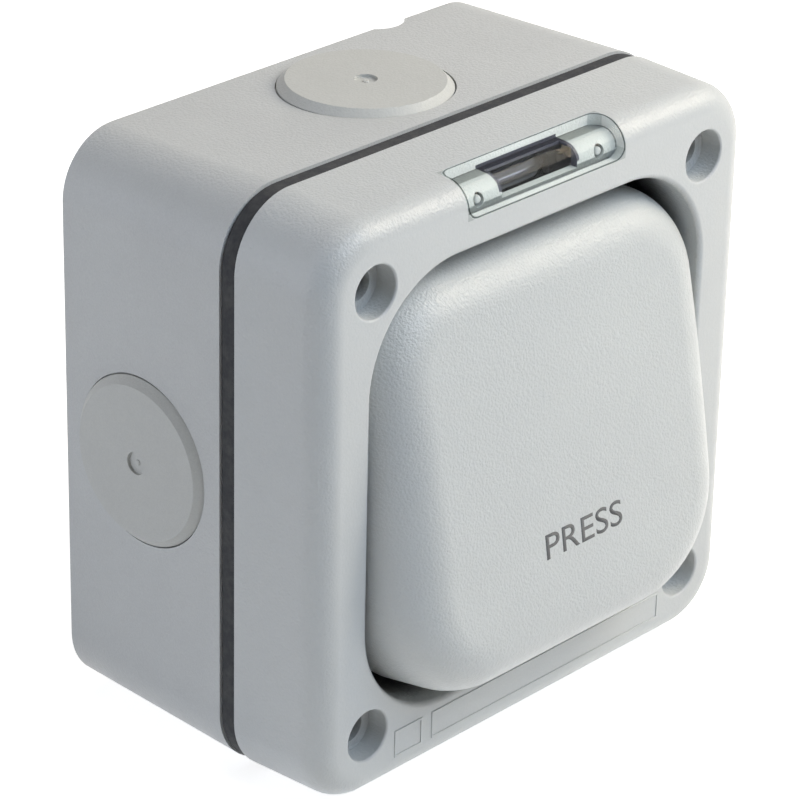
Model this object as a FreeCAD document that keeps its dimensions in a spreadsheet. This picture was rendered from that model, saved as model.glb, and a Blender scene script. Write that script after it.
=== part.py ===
import FreeCAD, Part
import math
import os
import Sketcher

# Outdoor weatherproof push switch, one gang, surface mounted.
# The origin is the centre of the back face, which lies on the wall.
# X runs to the right seen from the front, Z runs up and the front faces -Y.

# Driving dimensions in millimetres and degrees: name, value, what it is
DIMENSIONS = [
    ("face_size", 86.0, "side of the square body at the gasket"),
    ("corner_round", 10.0, "outer corner radius of box, gasket and cover"),
    ("box_depth", 30.9, "depth of the back box"),
    ("box_draft", 1.58, "draft angle of the back box walls"),
    ("box_wall", 2.5, "wall of the back box"),
    ("box_floor", 3.0, "floor of the back box"),
    ("gasket_thick", 2.8, "gasket seen between box and cover"),
    ("gasket_inset", 0.25, "gasket edge behind the outer walls"),
    ("gasket_width", 4.6, "width of the gasket band"),
    ("gasket_round", 0.5, "rounding of the gasket's outer edges"),
    ("gasket_lobe", 6.2, "radius of the gasket round a cover screw"),
    ("cover_depth", 15.45, "depth of the front cover"),
    ("cover_draft", 2.08, "draft angle of the cover walls"),
    ("cover_wall", 2.6, "side wall of the cover"),
    ("cover_front", 2.8, "front wall of the cover"),
    ("cover_round", 4.0, "round-over of the cover's front edge"),
    ("screw_inset", 10.17, "cover screw hole in from the sides of the body, both ways"),
    ("screw_bore", 2.25, "radius of the cover screw clearance hole"),
    ("screw_recess", 3.75, "radius of the cover screw counterbore"),
    ("screw_recess_deep", 3.4, "depth of the cover screw counterbore"),
    ("screw_rim", 0.35, "rounding of the counterbore's rim"),
    ("pillar", 4.8, "radius of the corner pillars"),
    ("pillar_web", 2.4, "thickness of the webs that tie pillars to walls"),
    ("pilot", 1.6, "radius of the pilot hole in a box pillar"),
    ("pilot_deep", 22.0, "depth of the pilot hole"),
    ("well_side", 9.65, "side of the paddle well in from the side of the body"),
    ("well_end", 9.9, "ends of the paddle well in from the ends of the body"),
    ("well_rise", 0.2, "well centre above the body centre"),
    ("well_turn", 17.15, "centre of the well's corner rounding from the middle"),
    ("well_deep", 11.95, "depth of the paddle well"),
    ("well_wall", 2.2, "wall and floor of the paddle well"),
    ("well_rim", 0.8, "rounding of the well's rim"),
    ("entry_bore", 10.1, "radius of the conduit entry bore"),
    ("entry_wall", 6.0, "length of the entry boss wall from the outside"),
    ("entry_boss", 13.2, "radius of the entry boss inside"),
    ("entry_recess", 12.5, "radius of the seat around an entry"),
    ("entry_recess_deep", 0.8, "depth of the seat around an entry"),
    ("plug_gap", 0.2, "gap round a blanking plug"),
    ("plug_proud", 1.15, "how far a plug stands out of the wall"),
    ("plug_chamfer", 1.1, "chamfer of the plug's flange"),
    ("plug_stub_wall", 2.2, "wall of the plug's hollow stub"),
    ("plug_dimple", 1.65, "radius of the moulding dimple in a plug"),
    ("plug_dimple_deep", 0.45, "depth of the dimple"),
    ("seal_wire", 0.6, "section radius of a plug's seal ring"),
    ("fixing_inset", 18.0, "wall fixing hole in from the sides of the body, both ways"),
    ("fixing_bore", 2.4, "radius of a wall fixing hole"),
    ("fixing_collar", 5.0, "radius of the collar round a fixing hole"),
    ("fixing_collar_rise", 2.0, "height of that collar above the floor"),
    ("notch_inset", 22.1, "rear notch centre in from the right side of the body"),
    ("notch_radius", 4.0, "radius of the rear notch"),
    ("notch_behind", 2.5, "notch centre behind the back face"),
    ("lens_half", 15.8, "half width of the indicator lens"),
    ("lens_down", 5.6, "lower edge of the lens below the top of the body"),
    ("lens_back", 5.95, "lens edge on the top face, behind the front plane"),
    ("lens_thick", 1.6, "thickness of the lens and depth of its bed"),
    ("lens_corner", 2.0, "corner radius of the lens"),
    ("lens_gap", 0.08, "gap round the lens"),
    ("lens_peg", 0.9, "radius of the two lens pegs"),
    ("lens_peg_across", 12.0, "lens peg from the middle"),
    ("window_half", 7.5, "half width of the light window"),
    ("window_down", 5.0, "lower edge of the light window below the top of the body"),
    ("window_back", 4.9, "rear edge of the light window, behind the front plane"),
    ("lamp_radius", 1.6, "radius of the neon lamp"),
    ("lamp_half", 5.8, "half length of the neon lamp"),
    ("lamp_behind", 6.9, "lamp axis behind the front plane"),
    ("lamp_down", 5.1, "lamp axis below the top of the body"),
    ("reflector_sheet", 0.3, "sheet of the lamp reflector"),
    ("holder_end", 20.0, "right end of the lamp holder"),
    ("resistor_radius", 1.2, "radius of the series resistor"),
    ("hinge_behind", 7.65, "paddle hinge axis behind the front plane"),
    ("hinge_down", 9.8, "paddle hinge axis below the top of the well"),
    ("hinge_pin_radius", 1.5, "radius of the hinge pin"),
    ("hinge_pin_half", 21.0, "half length of the hinge pin"),
    ("hinge_play", 0.05, "running clearance of the pin in the paddle"),
    ("lug_radius", 2.8, "radius of the hinge lugs"),
    ("lug_thick", 4.0, "thickness of a cover lug"),
    ("lug_across", 16.5, "inner side of a cover lug from the middle"),
    ("lug_gap", 0.8, "side gap between cover lug and paddle lug"),
    ("paddle_lug_thick", 3.5, "thickness of a paddle lug"),
    ("paddle_tilt", 10.64, "tilt of the paddle at rest"),
    ("paddle_side_gap", 0.4, "gap between paddle and well at each side"),
    ("paddle_above", 6.43, "paddle reach above the hinge axis"),
    ("paddle_low_gap", 1.86, "paddle reach below the hinge short of the well's lower end"),
    ("paddle_ahead", 9.38, "paddle face in front of the hinge axis"),
    ("paddle_high_less", 1.7, "upper corner radius of the paddle, less than the well's"),
    ("paddle_low_more", 0.8, "lower corner radius of the paddle, more than the well's"),
    ("paddle_edge", 8.2, "round-over of the paddle's edge"),
    ("paddle_crown", 1.0, "sag of the crowned face at top and bottom"),
    ("paddle_wall", 2.2, "wall of the paddle"),
    ("paddle_inner_edge", 5.5, "rounding inside the paddle"),
    ("skirt_high", 2.7, "paddle skirt behind the hinge axis, at the top"),
    ("skirt_low", 6.58, "paddle skirt behind the hinge axis, at the bottom"),
    ("press_boss", 4.5, "radius of the paddle's boss over the plunger"),
    ("press_boss_ahead", 2.0, "end of that boss in front of the hinge axis"),
    ("seat_boss", 3.9, "radius of the paddle's spring seats"),
    ("seat_boss_ahead", 4.0, "end of a spring seat in front of the hinge axis"),
    ("plunger_drop", 8.0, "plunger axis below the body centre"),
    ("plunger_radius", 3.0, "radius of the plunger"),
    ("plunger_nose", 2.0, "rounding of the plunger's nose"),
    ("plunger_play", 0.08, "running clearance of the plunger in its guide"),
    ("plunger_gap", 0.3, "gap between paddle boss and plunger"),
    ("guide_boss", 4.6, "radius of the plunger guide on the well floor"),
    ("guide_rise", 2.6, "height of the plunger guide"),
    ("boot_foot", 9.8, "radius of the boot's foot"),
    ("boot_skin", 1.2, "thickness of the boot's foot"),
    ("boot_tall", 8.4, "height of the boot"),
    ("ring_thick", 1.4, "thickness of the ring that clamps the boot"),
    ("ring_inner", 8.7, "inner radius of the clamp ring"),
    ("spring_across", 18.0, "return spring from the middle"),
    ("spring_drop", 13.3, "return spring below the body centre"),
    ("spring_radius", 2.9, "mean radius of a return spring"),
    ("spring_wire", 0.4, "wire radius of a return spring"),
    ("spring_turns", 6.0, "turns of a return spring"),
    ("spring_gap", 0.3, "gap between a return spring and its tilted seat"),
    ("module_wide", 40.0, "width of the switch module"),
    ("module_high", 36.0, "height of the switch module"),
    ("module_drop", 4.0, "module centre below the body centre"),
    ("module_deep", 20.0, "depth of the module base"),
    ("module_wall", 2.0, "walls and lid of the module"),
    ("module_round", 2.0, "corner radius of the module"),
    ("ear_reach", 30.5, "reach of the module's ears"),
    ("ear_hole_inset", 4.5, "module screw in from the end of an ear"),
    ("ear_thick", 3.0, "thickness of the ears"),
    ("stand_off", 4.0, "height of the cover's bosses for the module"),
    ("stand_off_radius", 3.6, "radius of those bosses"),
    ("module_screw", 1.4, "radius of a module screw"),
    ("plunger_flange", 4.5, "radius of the plunger's flange"),
    ("plunger_flange_thick", 1.2, "thickness of the plunger's flange"),
    ("stem_radius", 1.5, "radius of the plunger's stem"),
    ("stem_long", 3.6, "stem between flange and moving contact"),
    ("pin_end_radius", 1.1, "radius of the stem's thin end"),
    ("pin_end_long", 3.6, "length of the stem's thin end"),
    ("bridge_half", 10.0, "half length of the moving contact"),
    ("bridge_high", 6.0, "height of the moving contact"),
    ("contact_sheet", 0.8, "thickness of the contact strips"),
    ("contact_button", 1.5, "radius of a contact button"),
    ("contact_button_thick", 0.5, "thickness of a contact button"),
    ("contact_across", 8.0, "contact buttons from the middle"),
    ("contact_travel", 4.3, "gap between the open contacts"),
    ("contact_spring_radius", 2.6, "mean radius of the contact spring"),
    ("contact_spring_wire", 0.3, "wire radius of the contact spring"),
    ("contact_spring_turns", 5.0, "turns of the contact spring"),
    ("terminal_across", 13.0, "terminal axis from the middle"),
    ("terminal_drop", 16.0, "terminal axis below the body centre"),
    ("terminal_size", 8.0, "side of a terminal block"),
    ("wire_bore", 1.6, "radius of a terminal's wire hole"),
    ("terminal_screw", 1.7, "radius of a terminal screw"),
    ("screw_head", 2.9, "radius of a small screw head"),
    ("screw_head_thick", 1.8, "thickness of a small screw head"),
    ("screw_slot", 0.7, "width of a screw slot"),
    ("earth_down", 16.0, "earth terminal below the top of the body"),
    ("earth_post", 2.5, "height of the earth terminal's post"),
    ("earth_deep", 6.5, "depth of the earth terminal block"),
    ("seat_gap", 0.1, "gap of parts that drop into a seat"),
]

doc = FreeCAD.newDocument("weatherproof_switch")
sheet = doc.addObject("Spreadsheet::Sheet", "Sizes")


class Size:
    """A length or angle: its spreadsheet expression and the number that it has."""

    def __init__(self, text, value):
        self.text = text
        self.value = value

    def __add__(self, other):
        return join(self, "+", other)

    def __radd__(self, other):
        return join(other, "+", self)

    def __sub__(self, other):
        return join(self, "-", other)

    def __rsub__(self, other):
        return join(other, "-", self)

    def __mul__(self, other):
        return join(self, "*", other)

    def __rmul__(self, other):
        return join(other, "*", self)

    def __truediv__(self, other):
        return join(self, "/", other)

    def __neg__(self):
        return join(0, "-", self)


def as_size(number):
    if isinstance(number, Size):
        return number
    return Size(repr(float(number)), float(number))


def join(first, sign, second):
    a = as_size(first)
    b = as_size(second)
    results = {"+": a.value + b.value, "-": a.value - b.value, "*": a.value * b.value}
    if sign == "/":
        results["/"] = a.value / b.value
    return Size("(%s %s %s)" % (a.text, sign, b.text), results[sign])


def sine(angle):
    return Size("sin(%s * 1deg)" % angle.text, math.sin(math.radians(angle.value)))


def square_root(size):
    return Size("sqrt(%s)" % size.text, math.sqrt(size.value))


def cosine(angle):
    return Size("cos(%s * 1deg)" % angle.text, math.cos(math.radians(angle.value)))


def fill_sheet():
    sizes = {}
    for row, (name, number, meaning) in enumerate(DIMENSIONS, start=1):
        sheet.set("A%d" % row, meaning)
        sheet.set("B%d" % row, str(number))
        sheet.setAlias("B%d" % row, name)
        sizes[name] = Size("Sizes." + name, number)
    doc.recompute()
    return sizes


class Named:
    """The driving dimensions by name."""

    def __init__(self, sizes):
        self.__dict__.update(sizes)


s = Named(fill_sheet())

# Planes that several pieces share, as distances in front of the wall
GASKET_PLANE = s.box_depth
COVER_PLANE = s.box_depth + s.gasket_thick
FRONT_PLANE = COVER_PLANE + s.cover_depth
WELL_FLOOR = FRONT_PLANE - s.well_deep
FLOOR_REAR = WELL_FLOOR - s.well_wall
HINGE_PLANE = FRONT_PLANE - s.hinge_behind
LAMP_PLANE = FRONT_PLANE - s.lamp_behind
MODULE_FRONT = FLOOR_REAR - s.module_wall
MODULE_BACK = MODULE_FRONT - s.module_deep
MODULE_INNER = MODULE_BACK + s.module_wall
EAR_FRONT = FLOOR_REAR - s.stand_off

# Places that follow the size of the body, from its middle
HALF = s.face_size / 2
SCREW_PITCH = HALF - s.screw_inset
FIXING_PITCH = HALF - s.fixing_inset
NOTCH_ACROSS = HALF - s.notch_inset
WELL_WIDE = HALF - s.well_side
WELL_HIGH = HALF - s.well_end
WELL_ROUND = WELL_WIDE - s.well_turn
LENS_LOW = HALF - s.lens_down
WINDOW_LOW = HALF - s.window_down
LAMP_HEIGHT = HALF - s.lamp_down
EARTH_HEIGHT = HALF - s.earth_down
HINGE_HEIGHT = s.well_rise + WELL_HIGH - s.hinge_down
PADDLE_WIDE = (WELL_WIDE - s.paddle_side_gap) * 2
PADDLE_BELOW = WELL_HIGH * 2 - s.hinge_down - s.paddle_low_gap
PADDLE_HIGH_ROUND = WELL_ROUND - s.paddle_high_less
PADDLE_LOW_ROUND = WELL_ROUND + s.paddle_low_more
EAR_HOLE_ACROSS = s.ear_reach - s.ear_hole_inset

# Side of an octagon for a reach of one, and the outside and the floor of an entry's seat
OCTAGON_SIDE = math.tan(math.pi / 8)
ENTRY_SURFACE = HALF - s.box_depth / 2 * sine(s.box_draft)
ENTRY_SEAT = ENTRY_SURFACE - s.entry_recess_deep

# Plane in front of the wall of a point of the paddle at rest, and its height
PLUNGER_HEIGHT = -s.plunger_drop
TILT_SINE = sine(s.paddle_tilt)
TILT_COSINE = cosine(s.paddle_tilt)


def paddle_reach(height, ahead):
    """Distance below the hinge, along the paddle, of a point at this height and this far ahead."""
    return (HINGE_HEIGHT - height + ahead * TILT_SINE) / TILT_COSINE


def paddle_plane(below, ahead):
    """Plane in front of the wall of a point of the tilted paddle."""
    return HINGE_PLANE + below * TILT_SINE + ahead * TILT_COSINE


PRESS_BELOW = paddle_reach(PLUNGER_HEIGHT, s.press_boss_ahead)
PRESS_PLANE = paddle_plane(PRESS_BELOW, s.press_boss_ahead)
SEAT_BELOW = paddle_reach(-s.spring_drop, s.seat_boss_ahead)
SEAT_PLANE = paddle_plane(SEAT_BELOW, s.seat_boss_ahead)
SPRING_FRONT = SEAT_PLANE - (s.spring_radius + s.spring_wire) * TILT_SINE / TILT_COSINE - s.spring_gap
PLUNGER_TIP = PRESS_PLANE - s.plunger_gap
FLANGE_FRONT = MODULE_FRONT - s.plunger_gap
FLANGE_REAR = FLANGE_FRONT - s.plunger_flange_thick
BRIDGE_FRONT = FLANGE_REAR - s.stem_long
BRIDGE_REAR = BRIDGE_FRONT - s.contact_sheet
CONTACT_FRONT = BRIDGE_REAR - s.contact_button_thick - s.contact_travel
STRIP_FRONT = CONTACT_FRONT - s.contact_button_thick
STRIP_REAR = STRIP_FRONT - s.contact_sheet


def bind(thing, prop, size):
    """Tie a property to the spreadsheet."""
    thing.setExpression(prop, as_size(size).text)


def hold(sketch, kind, *where, size):
    """Add a dimension to a sketch and tie it to the spreadsheet."""
    index = sketch.addConstraint(Sketcher.Constraint(kind, *where, as_size(size).value))
    bind(sketch, "Constraints[%d]" % index, size)


def circle(sketch, across, up, radius):
    centre = FreeCAD.Vector(as_size(across).value, as_size(up).value, 0)
    shape = Part.Circle(centre, FreeCAD.Vector(0, 0, 1), as_size(radius).value)
    index = sketch.addGeometry(shape, False)
    hold(sketch, "DistanceX", -1, 1, index, 3, size=across)
    hold(sketch, "DistanceY", -1, 1, index, 3, size=up)
    hold(sketch, "Radius", index, size=radius)


def polygon(sketch, points):
    """Closed outline of straight lines, each corner held by its two distances."""
    corners = [(as_size(a), as_size(b)) for a, b in points]
    count = len(corners)
    lines = []
    for index in range(count):
        here = FreeCAD.Vector(corners[index][0].value, corners[index][1].value, 0)
        after = corners[(index + 1) % count]
        there = FreeCAD.Vector(after[0].value, after[1].value, 0)
        lines.append(sketch.addGeometry(Part.LineSegment(here, there), False))
    for index in range(count):
        following = lines[(index + 1) % count]
        sketch.addConstraint(Sketcher.Constraint("Coincident", lines[index], 2, following, 1))
        hold(sketch, "DistanceX", -1, 1, lines[index], 1, size=corners[index][0])
        hold(sketch, "DistanceY", -1, 1, lines[index], 1, size=corners[index][1])


def octagon(sketch, across, up, reach):
    """Eight-sided section of a wire or ring; its flats lie this far from its middle."""
    side = reach * OCTAGON_SIDE
    corners = [(reach, side), (side, reach), (-side, reach), (-reach, side),
               (-reach, -side), (-side, -reach), (side, -reach), (reach, -side)]
    polygon(sketch, [(across + right, up + above) for right, above in corners])


def rounded_outline(sketch, left, right, low, high, low_round, high_round):
    """Closed rectangle with a radius for its two low corners and one for its two high corners."""
    sides = [as_size(edge) for edge in (left, right, low, high, low_round, high_round)]
    x0, x1, y0, y1, r0, r1 = [edge.value for edge in sides]
    ends = [
        (x0 + r0, y0, x1 - r0, y0),
        (x1, y0 + r0, x1, y1 - r1),
        (x1 - r1, y1, x0 + r1, y1),
        (x0, y1 - r1, x0, y0 + r0),
    ]
    turns = [
        (x1 - r0, y0 + r0, r0, 270),
        (x1 - r1, y1 - r1, r1, 0),
        (x0 + r1, y1 - r1, r1, 90),
        (x0 + r0, y0 + r0, r0, 180),
    ]
    lines = []
    arcs = []
    for start_x, start_y, end_x, end_y in ends:
        line = Part.LineSegment(FreeCAD.Vector(start_x, start_y, 0), FreeCAD.Vector(end_x, end_y, 0))
        lines.append(sketch.addGeometry(line, False))
    for centre_x, centre_y, radius, start in turns:
        whole = Part.Circle(FreeCAD.Vector(centre_x, centre_y, 0), FreeCAD.Vector(0, 0, 1), radius)
        arc = Part.ArcOfCircle(whole, math.radians(start), math.radians(start + 90))
        arcs.append(sketch.addGeometry(arc, False))
    for index in range(4):
        following = lines[(index + 1) % 4]
        sketch.addConstraint(Sketcher.Constraint("Tangent", lines[index], 2, arcs[index], 1))
        sketch.addConstraint(Sketcher.Constraint("Tangent", arcs[index], 2, following, 1))
    for index, kind in enumerate(("Horizontal", "Vertical", "Horizontal", "Vertical")):
        sketch.addConstraint(Sketcher.Constraint(kind, lines[index]))
    hold(sketch, "DistanceX", -1, 1, lines[3], 1, size=sides[0])
    hold(sketch, "DistanceX", -1, 1, lines[1], 1, size=sides[1])
    hold(sketch, "DistanceY", -1, 1, lines[0], 1, size=sides[2])
    hold(sketch, "DistanceY", -1, 1, lines[2], 1, size=sides[3])
    for arc, radius in zip(arcs, (sides[4], sides[5], sides[5], sides[4])):
        hold(sketch, "Radius", arc, size=radius)


def square_outline(sketch, half, radius):
    rounded_outline(sketch, -half, half, -half, half, radius, radius)


def near(number, target):
    return abs(number - as_size(target).value) < 0.01


class Piece:
    """One moulded, turned or pressed piece: a body with its sketches and features."""

    def __init__(self, name):
        self.name = name
        self.body = doc.addObject("PartDesign::Body", name)
        self.body.Label = name
        self.count = 0

    def origin(self, role):
        return next(item for item in self.body.Origin.OriginFeatures if item.Role == role)

    def word(self, kind):
        self.count += 1
        return "%s_%s_%d" % (self.name, kind, self.count)

    def volume(self):
        doc.recompute()
        tip = self.body.Tip
        return tip.Shape.Volume if tip and not tip.Shape.isNull() else 0.0

    def sketch(self, role, height=0):
        """Sketch on one of the body's own planes, this far along the plane's normal."""
        sketch = self.body.newObject("Sketcher::SketchObject", self.word("sketch"))
        sketch.AttachmentSupport = (self.origin(role), [""])
        sketch.MapMode = "FlatFace"
        bind(sketch, "AttachmentOffset.Base.z", height)
        return sketch

    def extrude(self, kind, sketch, length, reverse, both, taper):
        before = self.volume()
        feature = self.body.newObject("PartDesign::" + kind, self.word(kind.lower()))
        feature.Profile = sketch
        feature.Reversed = reverse
        if both:
            feature.SideType = "Symmetric"
        bind(feature, "Length", length)
        if taper is not None:
            bind(feature, "TaperAngle", taper)
        change = self.volume() - before
        if abs(change) < 0.001 or (change > 0) != (kind == "Pad"):
            raise RuntimeError("%s: %s changed the volume by %.4f" % (self.name, feature.Name, change))
        return feature

    def pad(self, sketch, length, against=False, both=False, taper=None):
        return self.extrude("Pad", sketch, length, against, both, taper)

    def pocket(self, sketch, length, against=True, both=False, taper=None):
        return self.extrude("Pocket", sketch, length, not against, both, taper)

    def turn(self, sketch, axis="V_Axis", kind="Revolution"):
        feature = self.body.newObject("PartDesign::" + kind, self.word(kind.lower()))
        feature.Profile = sketch
        feature.ReferenceAxis = (sketch, [axis])
        feature.Angle = 360
        doc.recompute()
        return feature

    def repeat_round(self, originals, count):
        """Repeat features round the Y axis."""
        feature = self.body.newObject("PartDesign::PolarPattern", self.word("pattern"))
        feature.Originals = originals
        feature.Axis = (self.origin("Y_Axis"), [""])
        feature.Angle = 360
        feature.Occurrences = count
        self.body.Tip = feature
        doc.recompute()
        return feature

    def mirror(self, originals):
        """Repeat features on the other side of the middle."""
        feature = self.body.newObject("PartDesign::Mirrored", self.word("mirror"))
        feature.Originals = originals
        feature.MirrorPlane = (self.origin("YZ_Plane"), [""])
        self.body.Tip = feature
        doc.recompute()
        return feature

    def blend(self, radius, test, kind="Fillet"):
        """Fillet or chamfer the edges whose end points all pass a test."""
        doc.recompute()
        tip = self.body.Tip
        names = []
        for number, edge in enumerate(tip.Shape.Edges, start=1):
            points = [vertex.Point for vertex in edge.Vertexes] + [edge.valueAt(middle(edge))]
            if all(test(point) for point in points):
                names.append("Edge%d" % number)
        if not names:
            raise RuntimeError("%s: no edge to blend" % self.name)
        feature = self.body.newObject("PartDesign::" + kind, self.word(kind.lower()))
        feature.Base = (tip, names)
        bind(feature, "Radius" if kind == "Fillet" else "Size", radius)
        doc.recompute()
        return feature

    def place(self, across=0, ahead=0, up=0):
        bind(self.body, "Placement.Base.x", across)
        bind(self.body, "Placement.Base.y", -as_size(ahead))
        bind(self.body, "Placement.Base.z", up)


def middle(edge):
    return (edge.FirstParameter + edge.LastParameter) / 2


def corner_web(sketch, reach):
    """L of two webs from a corner pillar to the two walls beside it."""
    inner = SCREW_PITCH - s.pillar_web / 2
    outer = SCREW_PITCH + s.pillar_web / 2
    polygon(sketch, [(inner, inner), (reach, inner), (reach, outer),
                     (outer, outer), (outer, reach), (inner, reach)])


def corner_pillar(piece, start, length, reach):
    """Pillar and webs in the upper right corner, from a plane towards the front."""
    post = piece.sketch("XZ_Plane", start)
    circle(post, SCREW_PITCH, SCREW_PITCH, s.pillar)
    web = piece.sketch("XZ_Plane", start)
    corner_web(web, reach)
    return [piece.pad(post, length), piece.pad(web, length)]


def make_back_box():
    box = Piece("back_box")
    rim = box.sketch("XZ_Plane", GASKET_PLANE)
    square_outline(rim, HALF, s.corner_round)
    box.pad(rim, s.box_depth, against=True, taper=-s.box_draft)
    room = box.sketch("XZ_Plane", GASKET_PLANE)
    square_outline(room, HALF - s.box_wall, s.corner_round - s.box_wall)
    box.pocket(room, s.box_depth - s.box_floor, taper=-s.box_draft)

    repeats = corner_pillar(box, s.box_floor / 2, s.box_depth - s.box_floor / 2, HALF - s.box_wall / 2 - 0.5)
    pilot = box.sketch("XZ_Plane", GASKET_PLANE)
    circle(pilot, SCREW_PITCH, SCREW_PITCH, s.pilot)
    repeats.append(box.pocket(pilot, s.pilot_deep))
    collar = box.sketch("XZ_Plane", s.box_floor / 2)
    circle(collar, FIXING_PITCH, FIXING_PITCH, s.fixing_collar)
    repeats.append(box.pad(collar, s.box_floor / 2 + s.fixing_collar_rise))
    fixing = box.sketch("XZ_Plane", s.box_floor + s.fixing_collar_rise)
    circle(fixing, FIXING_PITCH, FIXING_PITCH, s.fixing_bore)
    repeats.append(box.pocket(fixing, s.box_floor + s.fixing_collar_rise))

    boss = box.sketch("XY_Plane", ENTRY_SURFACE - s.entry_wall)
    circle(boss, 0, -s.box_depth / 2, s.entry_boss)
    repeats.append(box.pad(boss, s.entry_wall - s.box_wall / 2))
    bore = box.sketch("XY_Plane", ENTRY_SURFACE - s.entry_wall)
    circle(bore, 0, -s.box_depth / 2, s.entry_bore)
    repeats.append(box.pocket(bore, s.entry_wall + s.box_wall, against=False))
    seat = box.sketch("XY_Plane", ENTRY_SEAT)
    circle(seat, 0, -s.box_depth / 2, s.entry_recess)
    repeats.append(box.pocket(seat, s.box_wall, against=False))
    box.repeat_round(repeats, 4)

    notch = box.sketch("XY_Plane", HALF - s.box_wall * 2)
    circle(notch, NOTCH_ACROSS, s.notch_behind, s.notch_radius)
    box.pocket(notch, s.box_wall * 3, against=False)
    post = box.sketch("XZ_Plane", s.box_floor / 2)
    circle(post, 0, EARTH_HEIGHT, s.terminal_size / 2)
    box.pad(post, s.box_floor / 2 + s.earth_post)
    return box


def make_gasket():
    gasket = Piece("gasket")
    outer = HALF - s.gasket_inset
    band = gasket.sketch("XZ_Plane", GASKET_PLANE)
    square_outline(band, outer, s.corner_round - s.gasket_inset)
    inner = outer - s.gasket_width
    square_outline(band, inner, s.corner_round - s.gasket_inset - s.gasket_width)
    gasket.pad(band, s.gasket_thick)
    lobe = gasket.sketch("XZ_Plane", GASKET_PLANE)
    circle(lobe, SCREW_PITCH, SCREW_PITCH, s.gasket_lobe)
    hole = gasket.sketch("XZ_Plane", COVER_PLANE)
    circle(hole, SCREW_PITCH, SCREW_PITCH, s.screw_bore)
    repeats = [gasket.pad(lobe, s.gasket_thick), gasket.pocket(hole, s.gasket_thick)]
    gasket.repeat_round(repeats, 4)
    edge = (outer - 0.01).value
    corner = (HALF - s.corner_round).value
    reach = (s.corner_round - s.gasket_inset - 0.01).value

    def on_outside(point):
        if max(abs(point.x), abs(point.z)) >= edge:
            return True
        return math.hypot(abs(point.x) - corner, abs(point.z) - corner) >= reach

    def on_face(point):
        return on_outside(point) and (near(-point.y, GASKET_PLANE) or near(-point.y, COVER_PLANE))

    gasket.blend(s.gasket_round, on_face)
    return gasket


def start_cover(name):
    """The cover's outer form: a drafted square with a rounded front edge."""
    cover = Piece(name)
    rear = cover.sketch("XZ_Plane", COVER_PLANE)
    square_outline(rear, HALF, s.corner_round)
    cover.pad(rear, s.cover_depth, taper=-s.cover_draft)
    cover.blend(s.cover_round, lambda point: near(-point.y, FRONT_PLANE))
    return cover


def lens_section(sketch, gap):
    """Side view of the lens and its bed: a band that follows the cover's round-over."""
    outside = FRONT_PLANE + s.cover_round
    above = HALF + s.cover_round
    low = LENS_LOW + gap
    back = FRONT_PLANE - s.lens_back + gap
    bed_front = FRONT_PLANE - s.lens_thick
    bed_top = HALF - s.cover_depth * sine(s.cover_draft) - s.lens_thick
    turn = s.cover_round - s.lens_thick
    corners = [(-outside, low), (-bed_front, low), (-bed_front, bed_top - turn),
               (-(bed_front - turn), bed_top), (-back, bed_top), (-back, above), (-outside, above)]
    points = [FreeCAD.Vector(a.value, b.value, 0) for a, b in corners]
    centre = FreeCAD.Vector(points[3].x, points[2].y, 0)
    lines = []
    for index in range(len(points)):
        following = points[(index + 1) % len(points)]
        if index == 2:
            whole = Part.Circle(centre, FreeCAD.Vector(0, 0, 1), turn.value)
            piece = Part.ArcOfCircle(whole, math.radians(90), math.radians(180))
        else:
            piece = Part.LineSegment(points[index], following)
        lines.append(sketch.addGeometry(piece, False))
    ends = [(line, 1, 2) for line in lines]
    ends[2] = (lines[2], 2, 1)
    for index in range(len(points)):
        line, first, last = ends[index]
        following, following_first, following_last = ends[(index + 1) % len(points)]
        sketch.addConstraint(Sketcher.Constraint("Coincident", line, last, following, following_first))
        hold(sketch, "DistanceX", -1, 1, line, first, size=corners[index][0])
        hold(sketch, "DistanceY", -1, 1, line, first, size=corners[index][1])
    hold(sketch, "Radius", lines[2], size=turn)


def round_lens_corners(piece, half, low, back):
    def at_corner(point):
        beside = near(abs(point.x), half)
        return beside and (near(point.z, low) or near(-point.y, back))

    piece.blend(s.lens_corner, at_corner)


def lug_profile(piece, inner, thick, low_root, high_root, axis_plane, axis_height):
    """Lug on the right: a round eye and the web that stands it on its root."""
    web = piece.sketch("YZ_Plane", inner)
    polygon(web, [(-low_root, axis_height - s.lug_radius), (-axis_plane, axis_height - s.lug_radius),
                  (-axis_plane, axis_height + s.lug_radius), (-high_root, axis_height + s.lug_radius)])
    eye = piece.sketch("YZ_Plane", inner)
    circle(eye, -axis_plane, axis_height, s.lug_radius)
    return [piece.pad(web, thick), piece.pad(eye, thick)]


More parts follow.
